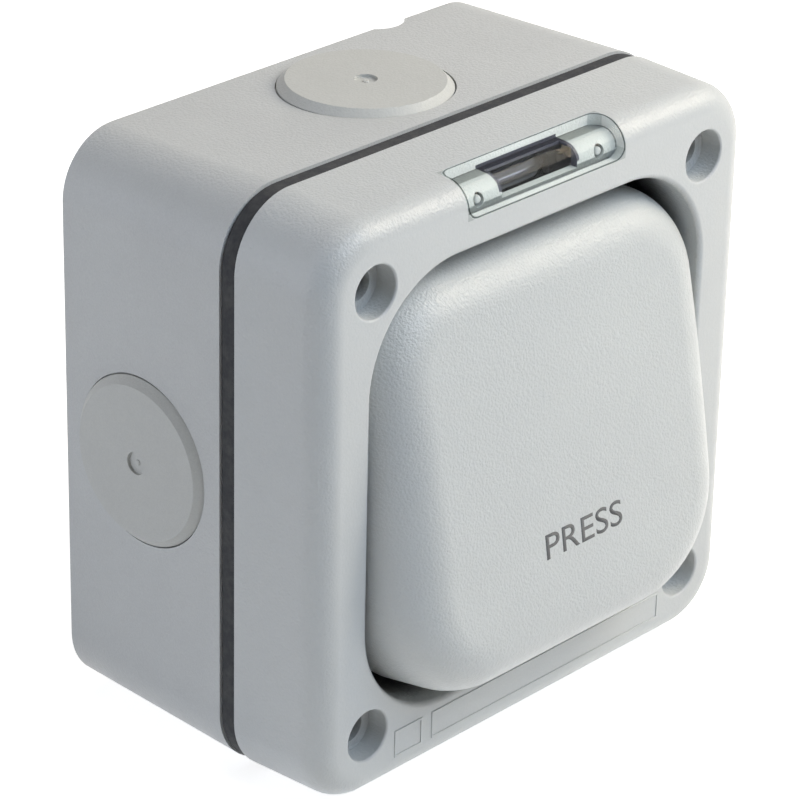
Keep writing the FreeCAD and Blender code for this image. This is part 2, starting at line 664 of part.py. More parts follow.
def make_front_cover():
    cover = start_cover("front_cover")
    well = cover.sketch("XZ_Plane", FRONT_PLANE)
    rounded_outline(well, -WELL_WIDE, WELL_WIDE, s.well_rise - WELL_HIGH,
                    s.well_rise + WELL_HIGH, WELL_ROUND, WELL_ROUND)
    cover.pocket(well, s.well_deep)

    def on_rim(point):
        inside = max(abs(point.x), abs(point.z)) < (WELL_WIDE + s.well_rise + 0.1).value
        return inside and near(-point.y, FRONT_PLANE)

    cover.blend(s.well_rim, on_rim)

    # Channel behind the front, between the outer wall and the wall of the well
    channel = cover.sketch("XZ_Plane", COVER_PLANE)
    square_outline(channel, HALF - s.cover_wall, s.corner_round - s.cover_wall)
    island_wide = WELL_WIDE + s.well_wall
    island_high = WELL_HIGH + s.well_wall
    rounded_outline(channel, -island_wide, island_wide, s.well_rise - island_high, s.well_rise + island_high,
                    WELL_ROUND + s.well_wall, WELL_ROUND + s.well_wall)
    cover.pocket(channel, s.cover_depth - s.cover_front, against=False)
    rear = cover.sketch("XZ_Plane", COVER_PLANE)
    rounded_outline(rear, -WELL_WIDE, WELL_WIDE, s.well_rise - WELL_HIGH,
                    s.well_rise + WELL_HIGH, WELL_ROUND, WELL_ROUND)
    cover.pocket(rear, FLOOR_REAR - COVER_PLANE, against=False)

    # Screw pillars, counterbores and clearance holes in the four corners
    repeats = corner_pillar(cover, COVER_PLANE, s.cover_depth - s.cover_front / 2, HALF - s.cover_wall / 2)
    recess = cover.sketch("XZ_Plane", FRONT_PLANE)
    circle(recess, SCREW_PITCH, SCREW_PITCH, s.screw_recess)
    repeats.append(cover.pocket(recess, s.screw_recess_deep))
    hole = cover.sketch("XZ_Plane", FRONT_PLANE)
    circle(hole, SCREW_PITCH, SCREW_PITCH, s.screw_bore)
    repeats.append(cover.pocket(hole, s.cover_depth))
    cover.repeat_round(repeats, 4)

    def on_recess_rim(point):
        across = abs(point.x) - SCREW_PITCH.value
        up = abs(point.z) - SCREW_PITCH.value
        return near(-point.y, FRONT_PLANE) and near(math.hypot(across, up), s.screw_recess)

    cover.blend(s.screw_rim, on_recess_rim)

    # Lugs for the hinge pin, spring spigots and the bosses that carry the module
    root = WELL_FLOOR - s.well_wall / 2
    pairs = lug_profile(cover, s.lug_across, s.lug_thick, root, root, HINGE_PLANE, HINGE_HEIGHT)
    spigot = cover.sketch("XZ_Plane", root)
    circle(spigot, s.spring_across, -s.spring_drop, s.spring_radius - s.spring_wire - s.seat_gap * 3)
    pairs.append(cover.pad(spigot, s.well_wall / 2 + s.guide_rise))
    stand = cover.sketch("XZ_Plane", FLOOR_REAR + s.well_wall / 2)
    circle(stand, EAR_HOLE_ACROSS, -s.module_drop, s.stand_off_radius)
    pairs.append(cover.pad(stand, s.well_wall / 2 + s.stand_off, against=True))
    tapping = cover.sketch("XZ_Plane", EAR_FRONT)
    circle(tapping, EAR_HOLE_ACROSS, -s.module_drop, s.module_screw + s.seat_gap / 2)
    pairs.append(cover.pocket(tapping, s.stand_off, against=False))
    cover.mirror(pairs)
    pin = cover.sketch("YZ_Plane")
    circle(pin, -HINGE_PLANE, HINGE_HEIGHT, s.hinge_pin_radius)
    cover.pocket(pin, (s.lug_across + s.lug_thick) * 2 + 1, both=True)

    # Guide for the plunger
    guide = cover.sketch("XZ_Plane", root)
    circle(guide, 0, PLUNGER_HEIGHT, s.guide_boss)
    cover.pad(guide, s.well_wall / 2 + s.guide_rise)
    bore = cover.sketch("XZ_Plane", WELL_FLOOR + s.guide_rise)
    circle(bore, 0, PLUNGER_HEIGHT, s.plunger_radius + s.plunger_play)
    cover.pocket(bore, s.guide_rise + s.well_wall)

    # Bed of the indicator lens, its light window and its peg holes
    bed = cover.sketch("YZ_Plane")
    lens_section(bed, as_size(0))
    cover.pocket(bed, s.lens_half * 2, both=True)
    round_lens_corners(cover, s.lens_half, LENS_LOW, FRONT_PLANE - s.lens_back)
    window = cover.sketch("YZ_Plane")
    back = FRONT_PLANE - s.window_back
    polygon(window, [(-FRONT_PLANE, WINDOW_LOW), (-back, WINDOW_LOW), (-back, HALF), (-FRONT_PLANE, HALF)])
    cover.pocket(window, s.window_half * 2, both=True)
    for side in (-1, 1):
        peg = cover.sketch("XZ_Plane", FRONT_PLANE)
        circle(peg, s.lens_peg_across * side, LENS_LOW + s.lens_thick, s.lens_peg + s.lens_gap)
        cover.pocket(peg, s.cover_front + s.lens_gap)
    return cover


def make_indicator_lens():
    form = Piece("lens_form")
    skin = form.sketch("YZ_Plane")
    lens_section(skin, s.lens_gap)
    half = s.lens_half - s.lens_gap
    form.pad(skin, half * 2, both=True)
    round_lens_corners(form, half, LENS_LOW + s.lens_gap, FRONT_PLANE - s.lens_back + s.lens_gap)
    light = form.sketch("YZ_Plane")
    low = WINDOW_LOW + s.lens_gap
    back = FRONT_PLANE - s.window_back + s.lens_gap
    top = HALF - s.lens_thick
    polygon(light, [(-(FRONT_PLANE - s.lens_thick / 2), low), (-back, low), (-back, top),
                    (-(FRONT_PLANE - s.lens_thick / 2), top)])
    form.pad(light, (s.window_half - s.lens_gap) * 2, both=True)
    for side in (-1, 1):
        peg = form.sketch("XZ_Plane", FRONT_PLANE - s.cover_front)
        circle(peg, s.lens_peg_across * side, LENS_LOW + s.lens_thick, s.lens_peg)
        form.pad(peg, s.cover_front - s.lens_thick / 2)
    blank = start_cover("lens_blank")
    lens = doc.addObject("Part::Common", "indicator_lens")
    lens.Base = form.body
    lens.Tool = blank.body
    lens.Label = "indicator_lens"
    return lens


def make_plug(name, turned):
    """Blanking plug for one conduit entry, turned about Y from the top entry."""
    plug = Piece(name)
    flange = s.entry_recess - s.plug_gap
    stub = s.entry_bore - s.plug_gap
    hollow = stub - s.plug_stub_wall
    top = ENTRY_SURFACE + s.plug_proud
    foot = ENTRY_SURFACE - s.entry_wall
    groove_in = stub + s.plug_gap
    groove_out = groove_in + s.seal_wire * 2 + s.seat_gap
    groove_top = ENTRY_SEAT + s.seal_wire * 2
    shape = plug.sketch("XZ_Plane")
    polygon(shape, [(0, top - s.plug_dimple_deep), (s.plug_dimple, top - s.plug_dimple_deep),
                    (s.plug_dimple, top), (flange - s.plug_chamfer, top), (flange, top - s.plug_chamfer),
                    (flange, ENTRY_SEAT), (groove_out, ENTRY_SEAT), (groove_out, groove_top),
                    (groove_in, groove_top), (groove_in, ENTRY_SEAT), (stub, ENTRY_SEAT), (stub, foot),
                    (hollow, foot), (hollow, ENTRY_SEAT - s.entry_recess_deep),
                    (0, ENTRY_SEAT - s.entry_recess_deep)])
    plug.turn(shape)
    turn_to_entry(plug.body, turned)
    seal = Piece(name + "_seal")
    ring = seal.sketch("XZ_Plane")
    octagon(ring, groove_in + s.seal_wire + s.seat_gap / 2, ENTRY_SEAT + s.seal_wire, s.seal_wire)
    seal.turn(ring)
    turn_to_entry(seal.body, turned)
    return [plug.body, seal.body]


def turn_to_entry(body, turned):
    """Turn a piece drawn on the top entry's axis to its own entry: up, left or right."""
    body.Placement.Rotation = FreeCAD.Rotation(FreeCAD.Vector(0, 1, 0), turned)
    bind(body, "Placement.Base.y", -s.box_depth / 2)


def paddle_skin(inset):
    """How far ahead of the hinge axis the middle of the paddle's skin lies, this far in from its edge."""
    rise = s.paddle_edge - inset
    fall = s.paddle_edge - square_root(s.paddle_edge * s.paddle_edge - rise * rise)
    return s.paddle_ahead - s.paddle_crown - s.paddle_wall / 2 - fall


def make_paddle():
    """Push paddle, drawn square to its own face with the hinge axis at its origin."""
    paddle = Piece("paddle")
    half = PADDLE_WIDE / 2
    deep = s.paddle_ahead + s.skirt_low
    face = paddle.sketch("XZ_Plane", s.paddle_ahead)
    rounded_outline(face, -half, half, -PADDLE_BELOW, s.paddle_above, PADDLE_LOW_ROUND, PADDLE_HIGH_ROUND)
    paddle.pad(face, deep, against=True)

    # Crown of the face, a shallow arc from top to bottom
    tall = s.paddle_above + PADDLE_BELOW
    centre_up = (s.paddle_above - PADDLE_BELOW) / 2
    radius = (tall * tall / 4 + s.paddle_crown * s.paddle_crown) / (s.paddle_crown * 2)
    crown = paddle.sketch("YZ_Plane")
    centre = FreeCAD.Vector((radius - s.paddle_ahead).value, centre_up.value, 0)
    edge = (s.paddle_crown - s.paddle_ahead).value
    swing = math.asin((tall / 2).value / radius.value)
    whole = Part.Circle(centre, FreeCAD.Vector(0, 0, 1), radius.value)
    arc = crown.addGeometry(Part.ArcOfCircle(whole, math.pi - swing, math.pi + swing), False)
    outside = (-s.paddle_ahead - s.paddle_wall).value
    foot_up = -PADDLE_BELOW.value
    head_up = s.paddle_above.value
    corners = [FreeCAD.Vector(edge, foot_up, 0), FreeCAD.Vector(outside, foot_up, 0),
               FreeCAD.Vector(outside, head_up, 0), FreeCAD.Vector(edge, head_up, 0)]
    lines = [crown.addGeometry(Part.LineSegment(corners[i], corners[i + 1]), False) for i in range(3)]
    crown.addConstraint(Sketcher.Constraint("Coincident", arc, 2, lines[0], 1))
    crown.addConstraint(Sketcher.Constraint("Coincident", lines[0], 2, lines[1], 1))
    crown.addConstraint(Sketcher.Constraint("Coincident", lines[1], 2, lines[2], 1))
    crown.addConstraint(Sketcher.Constraint("Coincident", lines[2], 2, arc, 1))
    for line, kind in zip(lines, ("Horizontal", "Vertical", "Horizontal")):
        crown.addConstraint(Sketcher.Constraint(kind, line))
    hold(crown, "DistanceY", -1, 1, lines[0], 1, size=-PADDLE_BELOW)
    hold(crown, "DistanceY", -1, 1, lines[2], 1, size=s.paddle_above)
    hold(crown, "DistanceX", -1, 1, lines[1], 1, size=-s.paddle_ahead - s.paddle_wall)
    hold(crown, "DistanceX", -1, 1, lines[0], 1, size=s.paddle_crown - s.paddle_ahead)
    hold(crown, "DistanceX", -1, 1, lines[2], 2, size=s.paddle_crown - s.paddle_ahead)
    hold(crown, "Radius", arc, size=radius)
    paddle.pocket(crown, PADDLE_WIDE + 2, both=True)
    front_edge = (s.paddle_crown - s.paddle_ahead + 0.01).value
    paddle.blend(s.paddle_edge, lambda point: point.y < front_edge)

    # Hollow of the paddle, with a rounded inner edge
    hollow = paddle.sketch("XZ_Plane", -s.skirt_low)
    rounded_outline(hollow, s.paddle_wall - half, half - s.paddle_wall, s.paddle_wall - PADDLE_BELOW,
                    s.paddle_above - s.paddle_wall, PADDLE_LOW_ROUND - s.paddle_wall,
                    PADDLE_HIGH_ROUND - s.paddle_wall)
    ceiling = s.paddle_ahead - s.paddle_crown - s.paddle_wall
    paddle.pocket(hollow, ceiling + s.skirt_low, against=False)
    inside = (half - s.paddle_wall + 0.01).value
    paddle.blend(s.paddle_inner_edge, lambda point: near(-point.y, ceiling) and abs(point.x) < inside)

    # Slanted rear edge of the skirt
    wedge = paddle.sketch("YZ_Plane")
    polygon(wedge, [(s.skirt_high, s.paddle_above + 1), (s.skirt_low, -PADDLE_BELOW - 1),
                    (s.skirt_low + 5, -PADDLE_BELOW - 1), (s.skirt_low + 5, s.paddle_above + 1)])
    paddle.pocket(wedge, PADDLE_WIDE + 2, both=True)

    # Hinge lugs, the boss over the plunger, the spring seats and stiffening ribs
    root = ceiling + s.paddle_wall / 2
    across = s.lug_across - s.lug_gap - s.paddle_lug_thick
    high_root = paddle_skin(s.paddle_above - s.lug_radius)
    pairs = lug_profile(paddle, across, s.paddle_lug_thick, root, high_root, as_size(0), as_size(0))
    seat = paddle.sketch("XZ_Plane", s.seat_boss_ahead)
    circle(seat, s.spring_across, -SEAT_BELOW, s.seat_boss)
    pairs.append(paddle.pad(seat, root - s.seat_boss_ahead))
    rib = paddle.sketch("YZ_Plane", s.press_boss / 2)
    foot = s.paddle_wall - PADDLE_BELOW
    lip = -s.press_boss_ahead - s.paddle_wall / 2
    polygon(rib, [(-paddle_skin(s.paddle_wall), foot), (-root, s.paddle_edge - PADDLE_BELOW),
                  (-root, -s.lug_radius * 2), (lip, -s.lug_radius * 2), (lip, foot)])
    pairs.append(paddle.pad(rib, s.paddle_wall * 0.6))
    paddle.mirror(pairs)
    boss = paddle.sketch("XZ_Plane", s.press_boss_ahead)
    circle(boss, 0, -PRESS_BELOW, s.press_boss)
    paddle.pad(boss, root - s.press_boss_ahead)
    pin = paddle.sketch("YZ_Plane")
    circle(pin, 0, 0, s.hinge_pin_radius + s.hinge_play)
    paddle.pocket(pin, (s.hinge_pin_half + 0.5) * 2, both=True)

    paddle.body.Placement.Rotation = FreeCAD.Rotation(FreeCAD.Vector(1, 0, 0), 0)
    bind(paddle.body, "Placement.Rotation.Angle", -s.paddle_tilt)
    bind(paddle.body, "Placement.Base.y", -HINGE_PLANE)
    bind(paddle.body, "Placement.Base.z", HINGE_HEIGHT)
    return paddle


def turned_piece(name, points, up, across=0):
    """Piece turned about an axis along Y; points are radius and distance in front of the wall."""
    piece = Piece(name)
    shape = piece.sketch("XY_Plane")
    polygon(shape, [(radius, -as_size(ahead)) for radius, ahead in points])
    piece.turn(shape)
    piece.place(across=across, up=up)
    return piece


def make_hinge_pin():
    pin = Piece("hinge_pin")
    radius = s.hinge_pin_radius
    half = s.hinge_pin_half
    end = radius / 5
    shape = pin.sketch("XY_Plane")
    polygon(shape, [(-half, 0), (half, 0), (half, radius - end), (half - end, radius),
                    (end - half, radius), (-half, radius - end)])
    pin.turn(shape, "H_Axis")
    pin.place(ahead=HINGE_PLANE, up=HINGE_HEIGHT)
    return pin


def make_spring(name, across, up, front, rear, radius, wire, turns):
    """Compression spring between two planes in front of the wall."""
    spring = Piece(name)
    section = spring.sketch("XY_Plane")
    octagon(section, radius, wire - front, wire)
    coil = spring.body.newObject("PartDesign::AdditiveHelix", spring.word("helix"))
    coil.Profile = section
    coil.ReferenceAxis = (section, ["V_Axis"])
    coil.Mode = 1
    bind(coil, "Height", front - rear - wire * 2)
    bind(coil, "Turns", turns)
    coil.Pitch = ((front - rear - wire * 2) / turns).value
    doc.recompute()
    spring.place(across=across, up=up)
    return spring


def make_boot():
    """Rubber boot round the plunger: foot on the well floor, one fold and a collar."""
    skin = s.boot_skin * 0.7
    tip = WELL_FLOOR + s.boot_tall
    neck = tip - s.boot_skin * 1.5
    shoulder = WELL_FLOOR + s.guide_rise + s.seat_gap * 5
    bore = s.plunger_radius + s.plunger_play
    wide = s.ring_inner - s.seat_gap * 5
    return turned_piece("plunger_boot", [
        (s.guide_boss + s.seat_gap * 2, WELL_FLOOR), (s.boot_foot, WELL_FLOOR),
        (s.boot_foot, WELL_FLOOR + s.boot_skin), (wide, WELL_FLOOR + s.boot_skin),
        (wide - skin, shoulder + skin), (bore + s.boot_skin + skin, neck),
        (bore + s.boot_skin, tip), (bore, tip), (bore, neck - skin),
        (wide - skin * 2.2, shoulder - skin / 2), (wide - skin, WELL_FLOOR + s.boot_skin - s.seat_gap),
        (s.guide_boss + s.seat_gap * 2, WELL_FLOOR + s.boot_skin - s.seat_gap)], PLUNGER_HEIGHT)


def make_boot_ring():
    low = WELL_FLOOR + s.boot_skin
    high = low + s.ring_thick
    edge = s.seat_gap * 3
    return turned_piece("boot_ring", [
        (s.ring_inner, low), (s.boot_foot, low), (s.boot_foot, high - edge),
        (s.boot_foot - edge, high), (s.ring_inner, high)], PLUNGER_HEIGHT)


def make_plunger():
    radius = s.plunger_radius
    stem_end = BRIDGE_FRONT - s.contact_sheet - s.pin_end_long
    plunger = turned_piece("plunger", [
        (0, PLUNGER_TIP), (radius, PLUNGER_TIP), (radius, FLANGE_FRONT),
        (s.plunger_flange, FLANGE_FRONT), (s.plunger_flange, FLANGE_REAR), (s.stem_radius, FLANGE_REAR),
        (s.stem_radius, BRIDGE_FRONT), (s.pin_end_radius, BRIDGE_FRONT), (s.pin_end_radius, stem_end),
        (0, stem_end)], PLUNGER_HEIGHT)
    plunger.blend(s.plunger_nose, lambda point: near(-point.y, PLUNGER_TIP))
    return plunger


def make_moving_contact():
    bridge = Piece("moving_contact")
    strip = bridge.sketch("XZ_Plane", BRIDGE_REAR)
    high = s.bridge_high / 2
    rounded_outline(strip, -s.bridge_half, s.bridge_half, -high, high, s.contact_button, s.contact_button)
    circle(strip, 0, 0, s.pin_end_radius + s.seat_gap / 2)
    bridge.pad(strip, s.contact_sheet)
    button = bridge.sketch("XZ_Plane", BRIDGE_REAR)
    circle(button, s.contact_across, 0, s.contact_button)
    bridge.mirror([bridge.pad(button, s.contact_button_thick, against=True)])
    bridge.place(up=PLUNGER_HEIGHT)
    return bridge


def make_fixed_contact(name, side):
    """Strip from a contact button down to its terminal; side is 1 on the right and -1 on the left."""
    contact = Piece(name)
    strip = contact.sketch("XZ_Plane", STRIP_REAR)
    near_side = (s.contact_across - s.contact_button - s.seat_gap * 5) * side
    far_side = (s.terminal_across + s.terminal_size / 2) * side
    turn = (s.terminal_across - s.terminal_size / 2 + 2) * side
    high = PLUNGER_HEIGHT + s.bridge_high / 2
    low = PLUNGER_HEIGHT - s.bridge_high / 2
    foot = -s.terminal_drop - s.terminal_size / 2
    polygon(strip, [(near_side, low), (near_side, high), (far_side, high), (far_side, foot), (turn, foot),
                    (turn, low)])
    contact.pad(strip, s.contact_sheet)
    button = contact.sketch("XZ_Plane", STRIP_FRONT)
    circle(button, s.contact_across * side, PLUNGER_HEIGHT, s.contact_button)
    contact.pad(button, s.contact_button_thick)
    return contact


def make_terminal(name, across, up, rear, front, wire_plane, wire_role):
    """Brass terminal block with a cross hole for the wire and a tapped hole from one side."""
    block = Piece(name)
    half = s.terminal_size / 2
    body = block.sketch("XZ_Plane", rear)
    rounded_outline(body, across - half, across + half, up - half, up + half, s.seat_gap * 4, s.seat_gap * 4)
    block.pad(body, front - rear)
    wire = block.sketch(wire_role, up if wire_role == "XY_Plane" else across)
    if wire_role == "XY_Plane":
        circle(wire, across, -wire_plane, s.wire_bore)
    else:
        circle(wire, -wire_plane, up, s.wire_bore)
    block.pocket(wire, s.terminal_size + 1, both=True)
    return block


def tap(block, across, up, start, length, against):
    """Tapped hole of a terminal block."""
    hole = block.sketch("XZ_Plane", start)
    circle(hole, across, up, s.terminal_screw + s.seat_gap / 2)
    block.pocket(hole, length, against=against)


def screw(name, across, up, head_plane, tip_plane, shank):
    """Slotted screw along Y; its head sits on head_plane and its shank runs to tip_plane."""
    way = -1 if head_plane.value < tip_plane.value else 1
    top = head_plane + s.screw_head_thick * way
    edge = s.seat_gap * 4
    piece = turned_piece(name, [
        (0, top), (s.screw_head - edge, top), (s.screw_head, top - edge * way), (s.screw_head, head_plane),
        (shank, head_plane), (shank, tip_plane), (0, tip_plane)], up, across)
    slot = piece.sketch("XY_Plane")
    reach = s.screw_head + s.seat_gap
    deep = top - s.screw_head_thick * (0.5 * way)
    polygon(slot, [(-reach, -top - s.seat_gap * 10 * way), (reach, -top - s.seat_gap * 10 * way),
                   (reach, -deep), (-reach, -deep)])
    piece.pocket(slot, s.screw_slot, both=True)
    return piece


def screw_group(name, screws):
    """Like screws that share one node."""
    group = doc.addObject("Part::Compound", name)
    group.Links = [piece.body for piece in screws]
    group.Label = name
    return group


def make_module_base():
    base = Piece("module_base")
    half_wide = s.module_wide / 2
    half_high = s.module_high / 2
    wall = s.module_wall
    body = base.sketch("XZ_Plane", MODULE_BACK)
    rounded_outline(body, -half_wide, half_wide, -s.module_drop - half_high, half_high - s.module_drop,
                    s.module_round, s.module_round)
    base.pad(body, s.module_deep)
    room = base.sketch("XZ_Plane", MODULE_FRONT)
    rounded_outline(room, wall - half_wide, half_wide - wall, wall - s.module_drop - half_high,
                    half_high - wall - s.module_drop, s.module_round / 2, s.module_round / 2)
    base.pocket(room, s.module_deep - wall)

    # Ears, contact posts, screw holes and wire entries, the same on both sides
    ear = base.sketch("XZ_Plane", EAR_FRONT - s.ear_thick)
    rounded_outline(ear, half_wide - wall / 2, s.ear_reach, -s.module_drop - s.ear_reach + EAR_HOLE_ACROSS,
                    s.ear_reach - EAR_HOLE_ACROSS - s.module_drop, s.module_round / 2, s.module_round / 2)
    pairs = [base.pad(ear, s.ear_thick)]
    ear_hole = base.sketch("XZ_Plane", EAR_FRONT)
    circle(ear_hole, EAR_HOLE_ACROSS, -s.module_drop, s.module_screw + s.seat_gap * 2)
    pairs.append(base.pocket(ear_hole, s.ear_thick))
    post = base.sketch("XZ_Plane", MODULE_BACK + wall / 2)
    circle(post, s.contact_across, PLUNGER_HEIGHT, s.contact_button)
    pairs.append(base.pad(post, STRIP_REAR - MODULE_BACK - wall / 2))
    driver = base.sketch("XZ_Plane", MODULE_INNER)
    circle(driver, s.terminal_across, -s.terminal_drop, s.terminal_screw + s.seat_gap * 4)
    pairs.append(base.pocket(driver, wall))
    entry = base.sketch("XY_Plane", -s.module_drop - half_high)
    circle(entry, s.terminal_across, -(MODULE_INNER + STRIP_REAR) / 2, s.wire_bore + s.seat_gap * 4)
    pairs.append(base.pocket(entry, wall, against=False))
    base.mirror(pairs)
    return base


def make_module_lid():
    lid = Piece("module_lid")
    half_wide = s.module_wide / 2
    half_high = s.module_high / 2
    plate = lid.sketch("XZ_Plane", MODULE_FRONT)
    rounded_outline(plate, -half_wide, half_wide, -s.module_drop - half_high, half_high - s.module_drop,
                    s.module_round, s.module_round)
    circle(plate, 0, PLUNGER_HEIGHT, s.plunger_radius + s.seat_gap * 5)
    lid.pad(plate, s.module_wall)
    return lid


def make_lamp():
    """Small neon lamp with rounded ends, lying along X behind the lens."""
    lamp = Piece("neon_lamp")
    radius = s.lamp_radius
    end = radius / 2
    half = s.lamp_half
    shape = lamp.sketch("XY_Plane")
    polygon(shape, [(-half, 0), (half, 0), (half, radius - end), (half - end, radius),
                    (end - half, radius), (-half, radius - end)])
    lamp.turn(shape, "H_Axis")
    lamp.place(ahead=LAMP_PLANE, up=LAMP_HEIGHT)
    return lamp


def make_lamp_reflector():
    """Bright sheet bent half round behind the lamp."""
    reflector = Piece("lamp_reflector")
    inner = s.lamp_radius + s.seat_gap * 4
    outer = inner + s.reflector_sheet
    shape = reflector.sketch("YZ_Plane")
    bends = []
    for radius in (inner, outer):
        whole = Part.Circle(FreeCAD.Vector(), FreeCAD.Vector(0, 0, 1), radius.value)
        arc = shape.addGeometry(Part.ArcOfCircle(whole, -math.pi / 2, math.pi / 2), False)
        shape.addConstraint(Sketcher.Constraint("Coincident", arc, 3, -1, 1))
        hold(shape, "Radius", arc, size=radius)
        shape.addConstraint(Sketcher.Constraint("PointOnObject", arc, 1, -2))
        shape.addConstraint(Sketcher.Constraint("PointOnObject", arc, 2, -2))
        bends.append(arc)
    for end, up in ((1, -1), (2, 1)):
        start = FreeCAD.Vector(0, inner.value * up, 0)
        edge = Part.LineSegment(start, FreeCAD.Vector(0, outer.value * up, 0))
        line = shape.addGeometry(edge, False)
        shape.addConstraint(Sketcher.Constraint("Coincident", line, 1, bends[0], end))
        shape.addConstraint(Sketcher.Constraint("Coincident", line, 2, bends[1], end))
    reflector.pad(shape, s.window_half * 2, both=True)
    reflector.place(ahead=LAMP_PLANE, up=LAMP_HEIGHT)
    return reflector


def make_lamp_holder():
    """Moulded cradle in the cover's channel for reflector, lamp and resistor."""
    holder = Piece("lamp_holder")
    low = s.well_rise + WELL_HIGH + s.well_wall + s.seat_gap * 2
    high = HALF - s.cover_wall - s.seat_gap * 2
    front = LAMP_PLANE - s.seat_gap
    rear = LAMP_PLANE - (s.lamp_radius + s.seat_gap * 4 + s.reflector_sheet) - s.module_wall
    block = holder.sketch("YZ_Plane", -s.window_half - s.module_wall)
    polygon(block, [(-front, low), (-rear, low), (-rear, high), (-front, high)])
    holder.pad(block, s.window_half + s.module_wall + s.holder_end)
    cradle = holder.sketch("YZ_Plane")
    circle(cradle, -LAMP_PLANE, LAMP_HEIGHT, s.lamp_radius + s.seat_gap * 5 + s.reflector_sheet)
    holder.pocket(cradle, (s.window_half + s.seat_gap) * 2, both=True)
    groove = holder.sketch("YZ_Plane", s.holder_end)
    circle(groove, -LAMP_PLANE, LAMP_HEIGHT, s.resistor_radius + s.seat_gap)
    holder.pocket(groove, s.holder_end - s.window_half - s.module_wall)
    return holder


def make_lamp_resistor():
    """Series resistor: a waisted body with a short lead at each end."""
    resistor = Piece("lamp_resistor")
    start = s.window_half + s.module_wall + s.seat_gap * 2
    end = s.holder_end
    radius = s.resistor_radius
    lead = radius / 4
    long = end - start
    shape = resistor.sketch("XY_Plane")
    waist = radius * 0.9
    third = long / 3
    sixth = long / 6
    polygon(shape, [(start, 0), (end, 0), (end, lead), (end - sixth, lead), (end - sixth, radius),
                    (end - third, radius), (end - third, waist), (start + third, waist),
                    (start + third, radius), (start + sixth, radius), (start + sixth, lead), (start, lead)])
    resistor.turn(shape, "H_Axis")
    resistor.place(ahead=LAMP_PLANE, up=LAMP_HEIGHT)
    return resistor


def make_all():
    """Build every sub-part and return the objects that are the finished pieces."""
    pieces = [make_back_box(), make_gasket(), make_front_cover(), make_paddle(), make_hinge_pin()]
    pieces += [make_boot(), make_boot_ring(), make_plunger(), make_moving_contact()]
    pieces += [make_module_base(), make_module_lid(), make_lamp(), make_lamp_reflector()]
    pieces += [make_lamp_holder(), make_lamp_resistor()]
    for name, side in (("left_return_spring", -1), ("right_return_spring", 1)):
        pieces.append(make_spring(name, s.spring_across * side, -s.spring_drop, SPRING_FRONT, WELL_FLOOR,
                                  s.spring_radius, s.spring_wire, s.spring_turns))
    pieces.append(make_spring("contact_spring", 0, PLUNGER_HEIGHT, BRIDGE_REAR, MODULE_INNER,
                              s.contact_spring_radius, s.contact_spring_wire, s.contact_spring_turns))
    wire_plane = (MODULE_INNER + STRIP_REAR) / 2
    for word, side in (("left", -1), ("right", 1)):
        pieces.append(make_fixed_contact(word + "_contact", side))
        across = s.terminal_across * side
        block = make_terminal(word + "_terminal", across, -s.terminal_drop, MODULE_INNER, STRIP_REAR,
                              wire_plane, "XY_Plane")
        tap(block, across, -s.terminal_drop, MODULE_INNER, (STRIP_REAR - MODULE_INNER) / 2, False)
        pieces.append(block)
    earth_rear = s.box_floor + s.earth_post
    earth_front = earth_rear + s.earth_deep
    earth_wire = earth_rear + s.earth_deep / 2
    earth = make_terminal("earth_terminal", as_size(0), EARTH_HEIGHT, earth_rear, earth_front,
                          earth_wire, "YZ_Plane")
    tap(earth, 0, EARTH_HEIGHT, earth_front, s.earth_deep / 2, True)
    pieces.append(earth)
    pieces.append(screw("earth_screw", 0, EARTH_HEIGHT, earth_front, earth_wire, s.terminal_screw))
    finished = [piece.body for piece in pieces]
    terminal_screws = [screw("terminal_screw_%s" % word, s.terminal_across * side, -s.terminal_drop,
                             MODULE_BACK - s.seat_gap, wire_plane, s.terminal_screw)
                       for word, side in (("left", -1), ("right", 1))]
    finished.append(screw_group("terminal_screws", terminal_screws))
    module_screws = [screw("module_screw_%s" % word, EAR_HOLE_ACROSS * side, -s.module_drop,
                           EAR_FRONT - s.ear_thick, EAR_FRONT + s.stand_off * 0.8, s.module_screw)
                     for word, side in (("left", -1), ("right", 1))]
    finished.append(screw_group("module_screws", module_screws))
    finished.append(make_indicator_lens())
    for name, turned in (("top_plug", 0), ("left_plug", -90), ("right_plug", 90)):
        finished += make_plug(name, turned)
    return finished


def check(finished):
    """Stop on a failed object or a shape that isn't a valid solid."""
    doc.recompute()
    for item in doc.Objects:
        if "Invalid" in item.State or "Error" in item.State:
            raise RuntimeError("%s failed: %s" % (item.Name, item.State))
    for item in finished:
        if item.Shape.isNull() or not item.Shape.isValid() or not item.Shape.Solids:
            raise RuntimeError("%s has no valid solid" % item.Label)


def write(finished):
    os.makedirs("parts", exist_ok=True)
    for item in finished:
        item.Shape.exportStep("parts/%s.step" % item.Label)
        box = item.Shape.BoundBox
        print("%-20s solids %d volume %9.1f  x %6.2f %6.2f  y %6.2f %6.2f  z %6.2f %6.2f" % (
            item.Label, len(item.Shape.Solids), item.Shape.Volume,
            box.XMin, box.XMax, box.YMin, box.YMax, box.ZMin, box.ZMax))


pieces_made = make_all()
check(pieces_made)
write(pieces_made)
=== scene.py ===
"""Weatherproof push switch: the finishes, the added pieces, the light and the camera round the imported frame."""

import logging
import math
from dataclasses import dataclass, field
from enum import Enum
from typing import Callable, Sequence

import bpy
from mathutils import Matrix, Vector


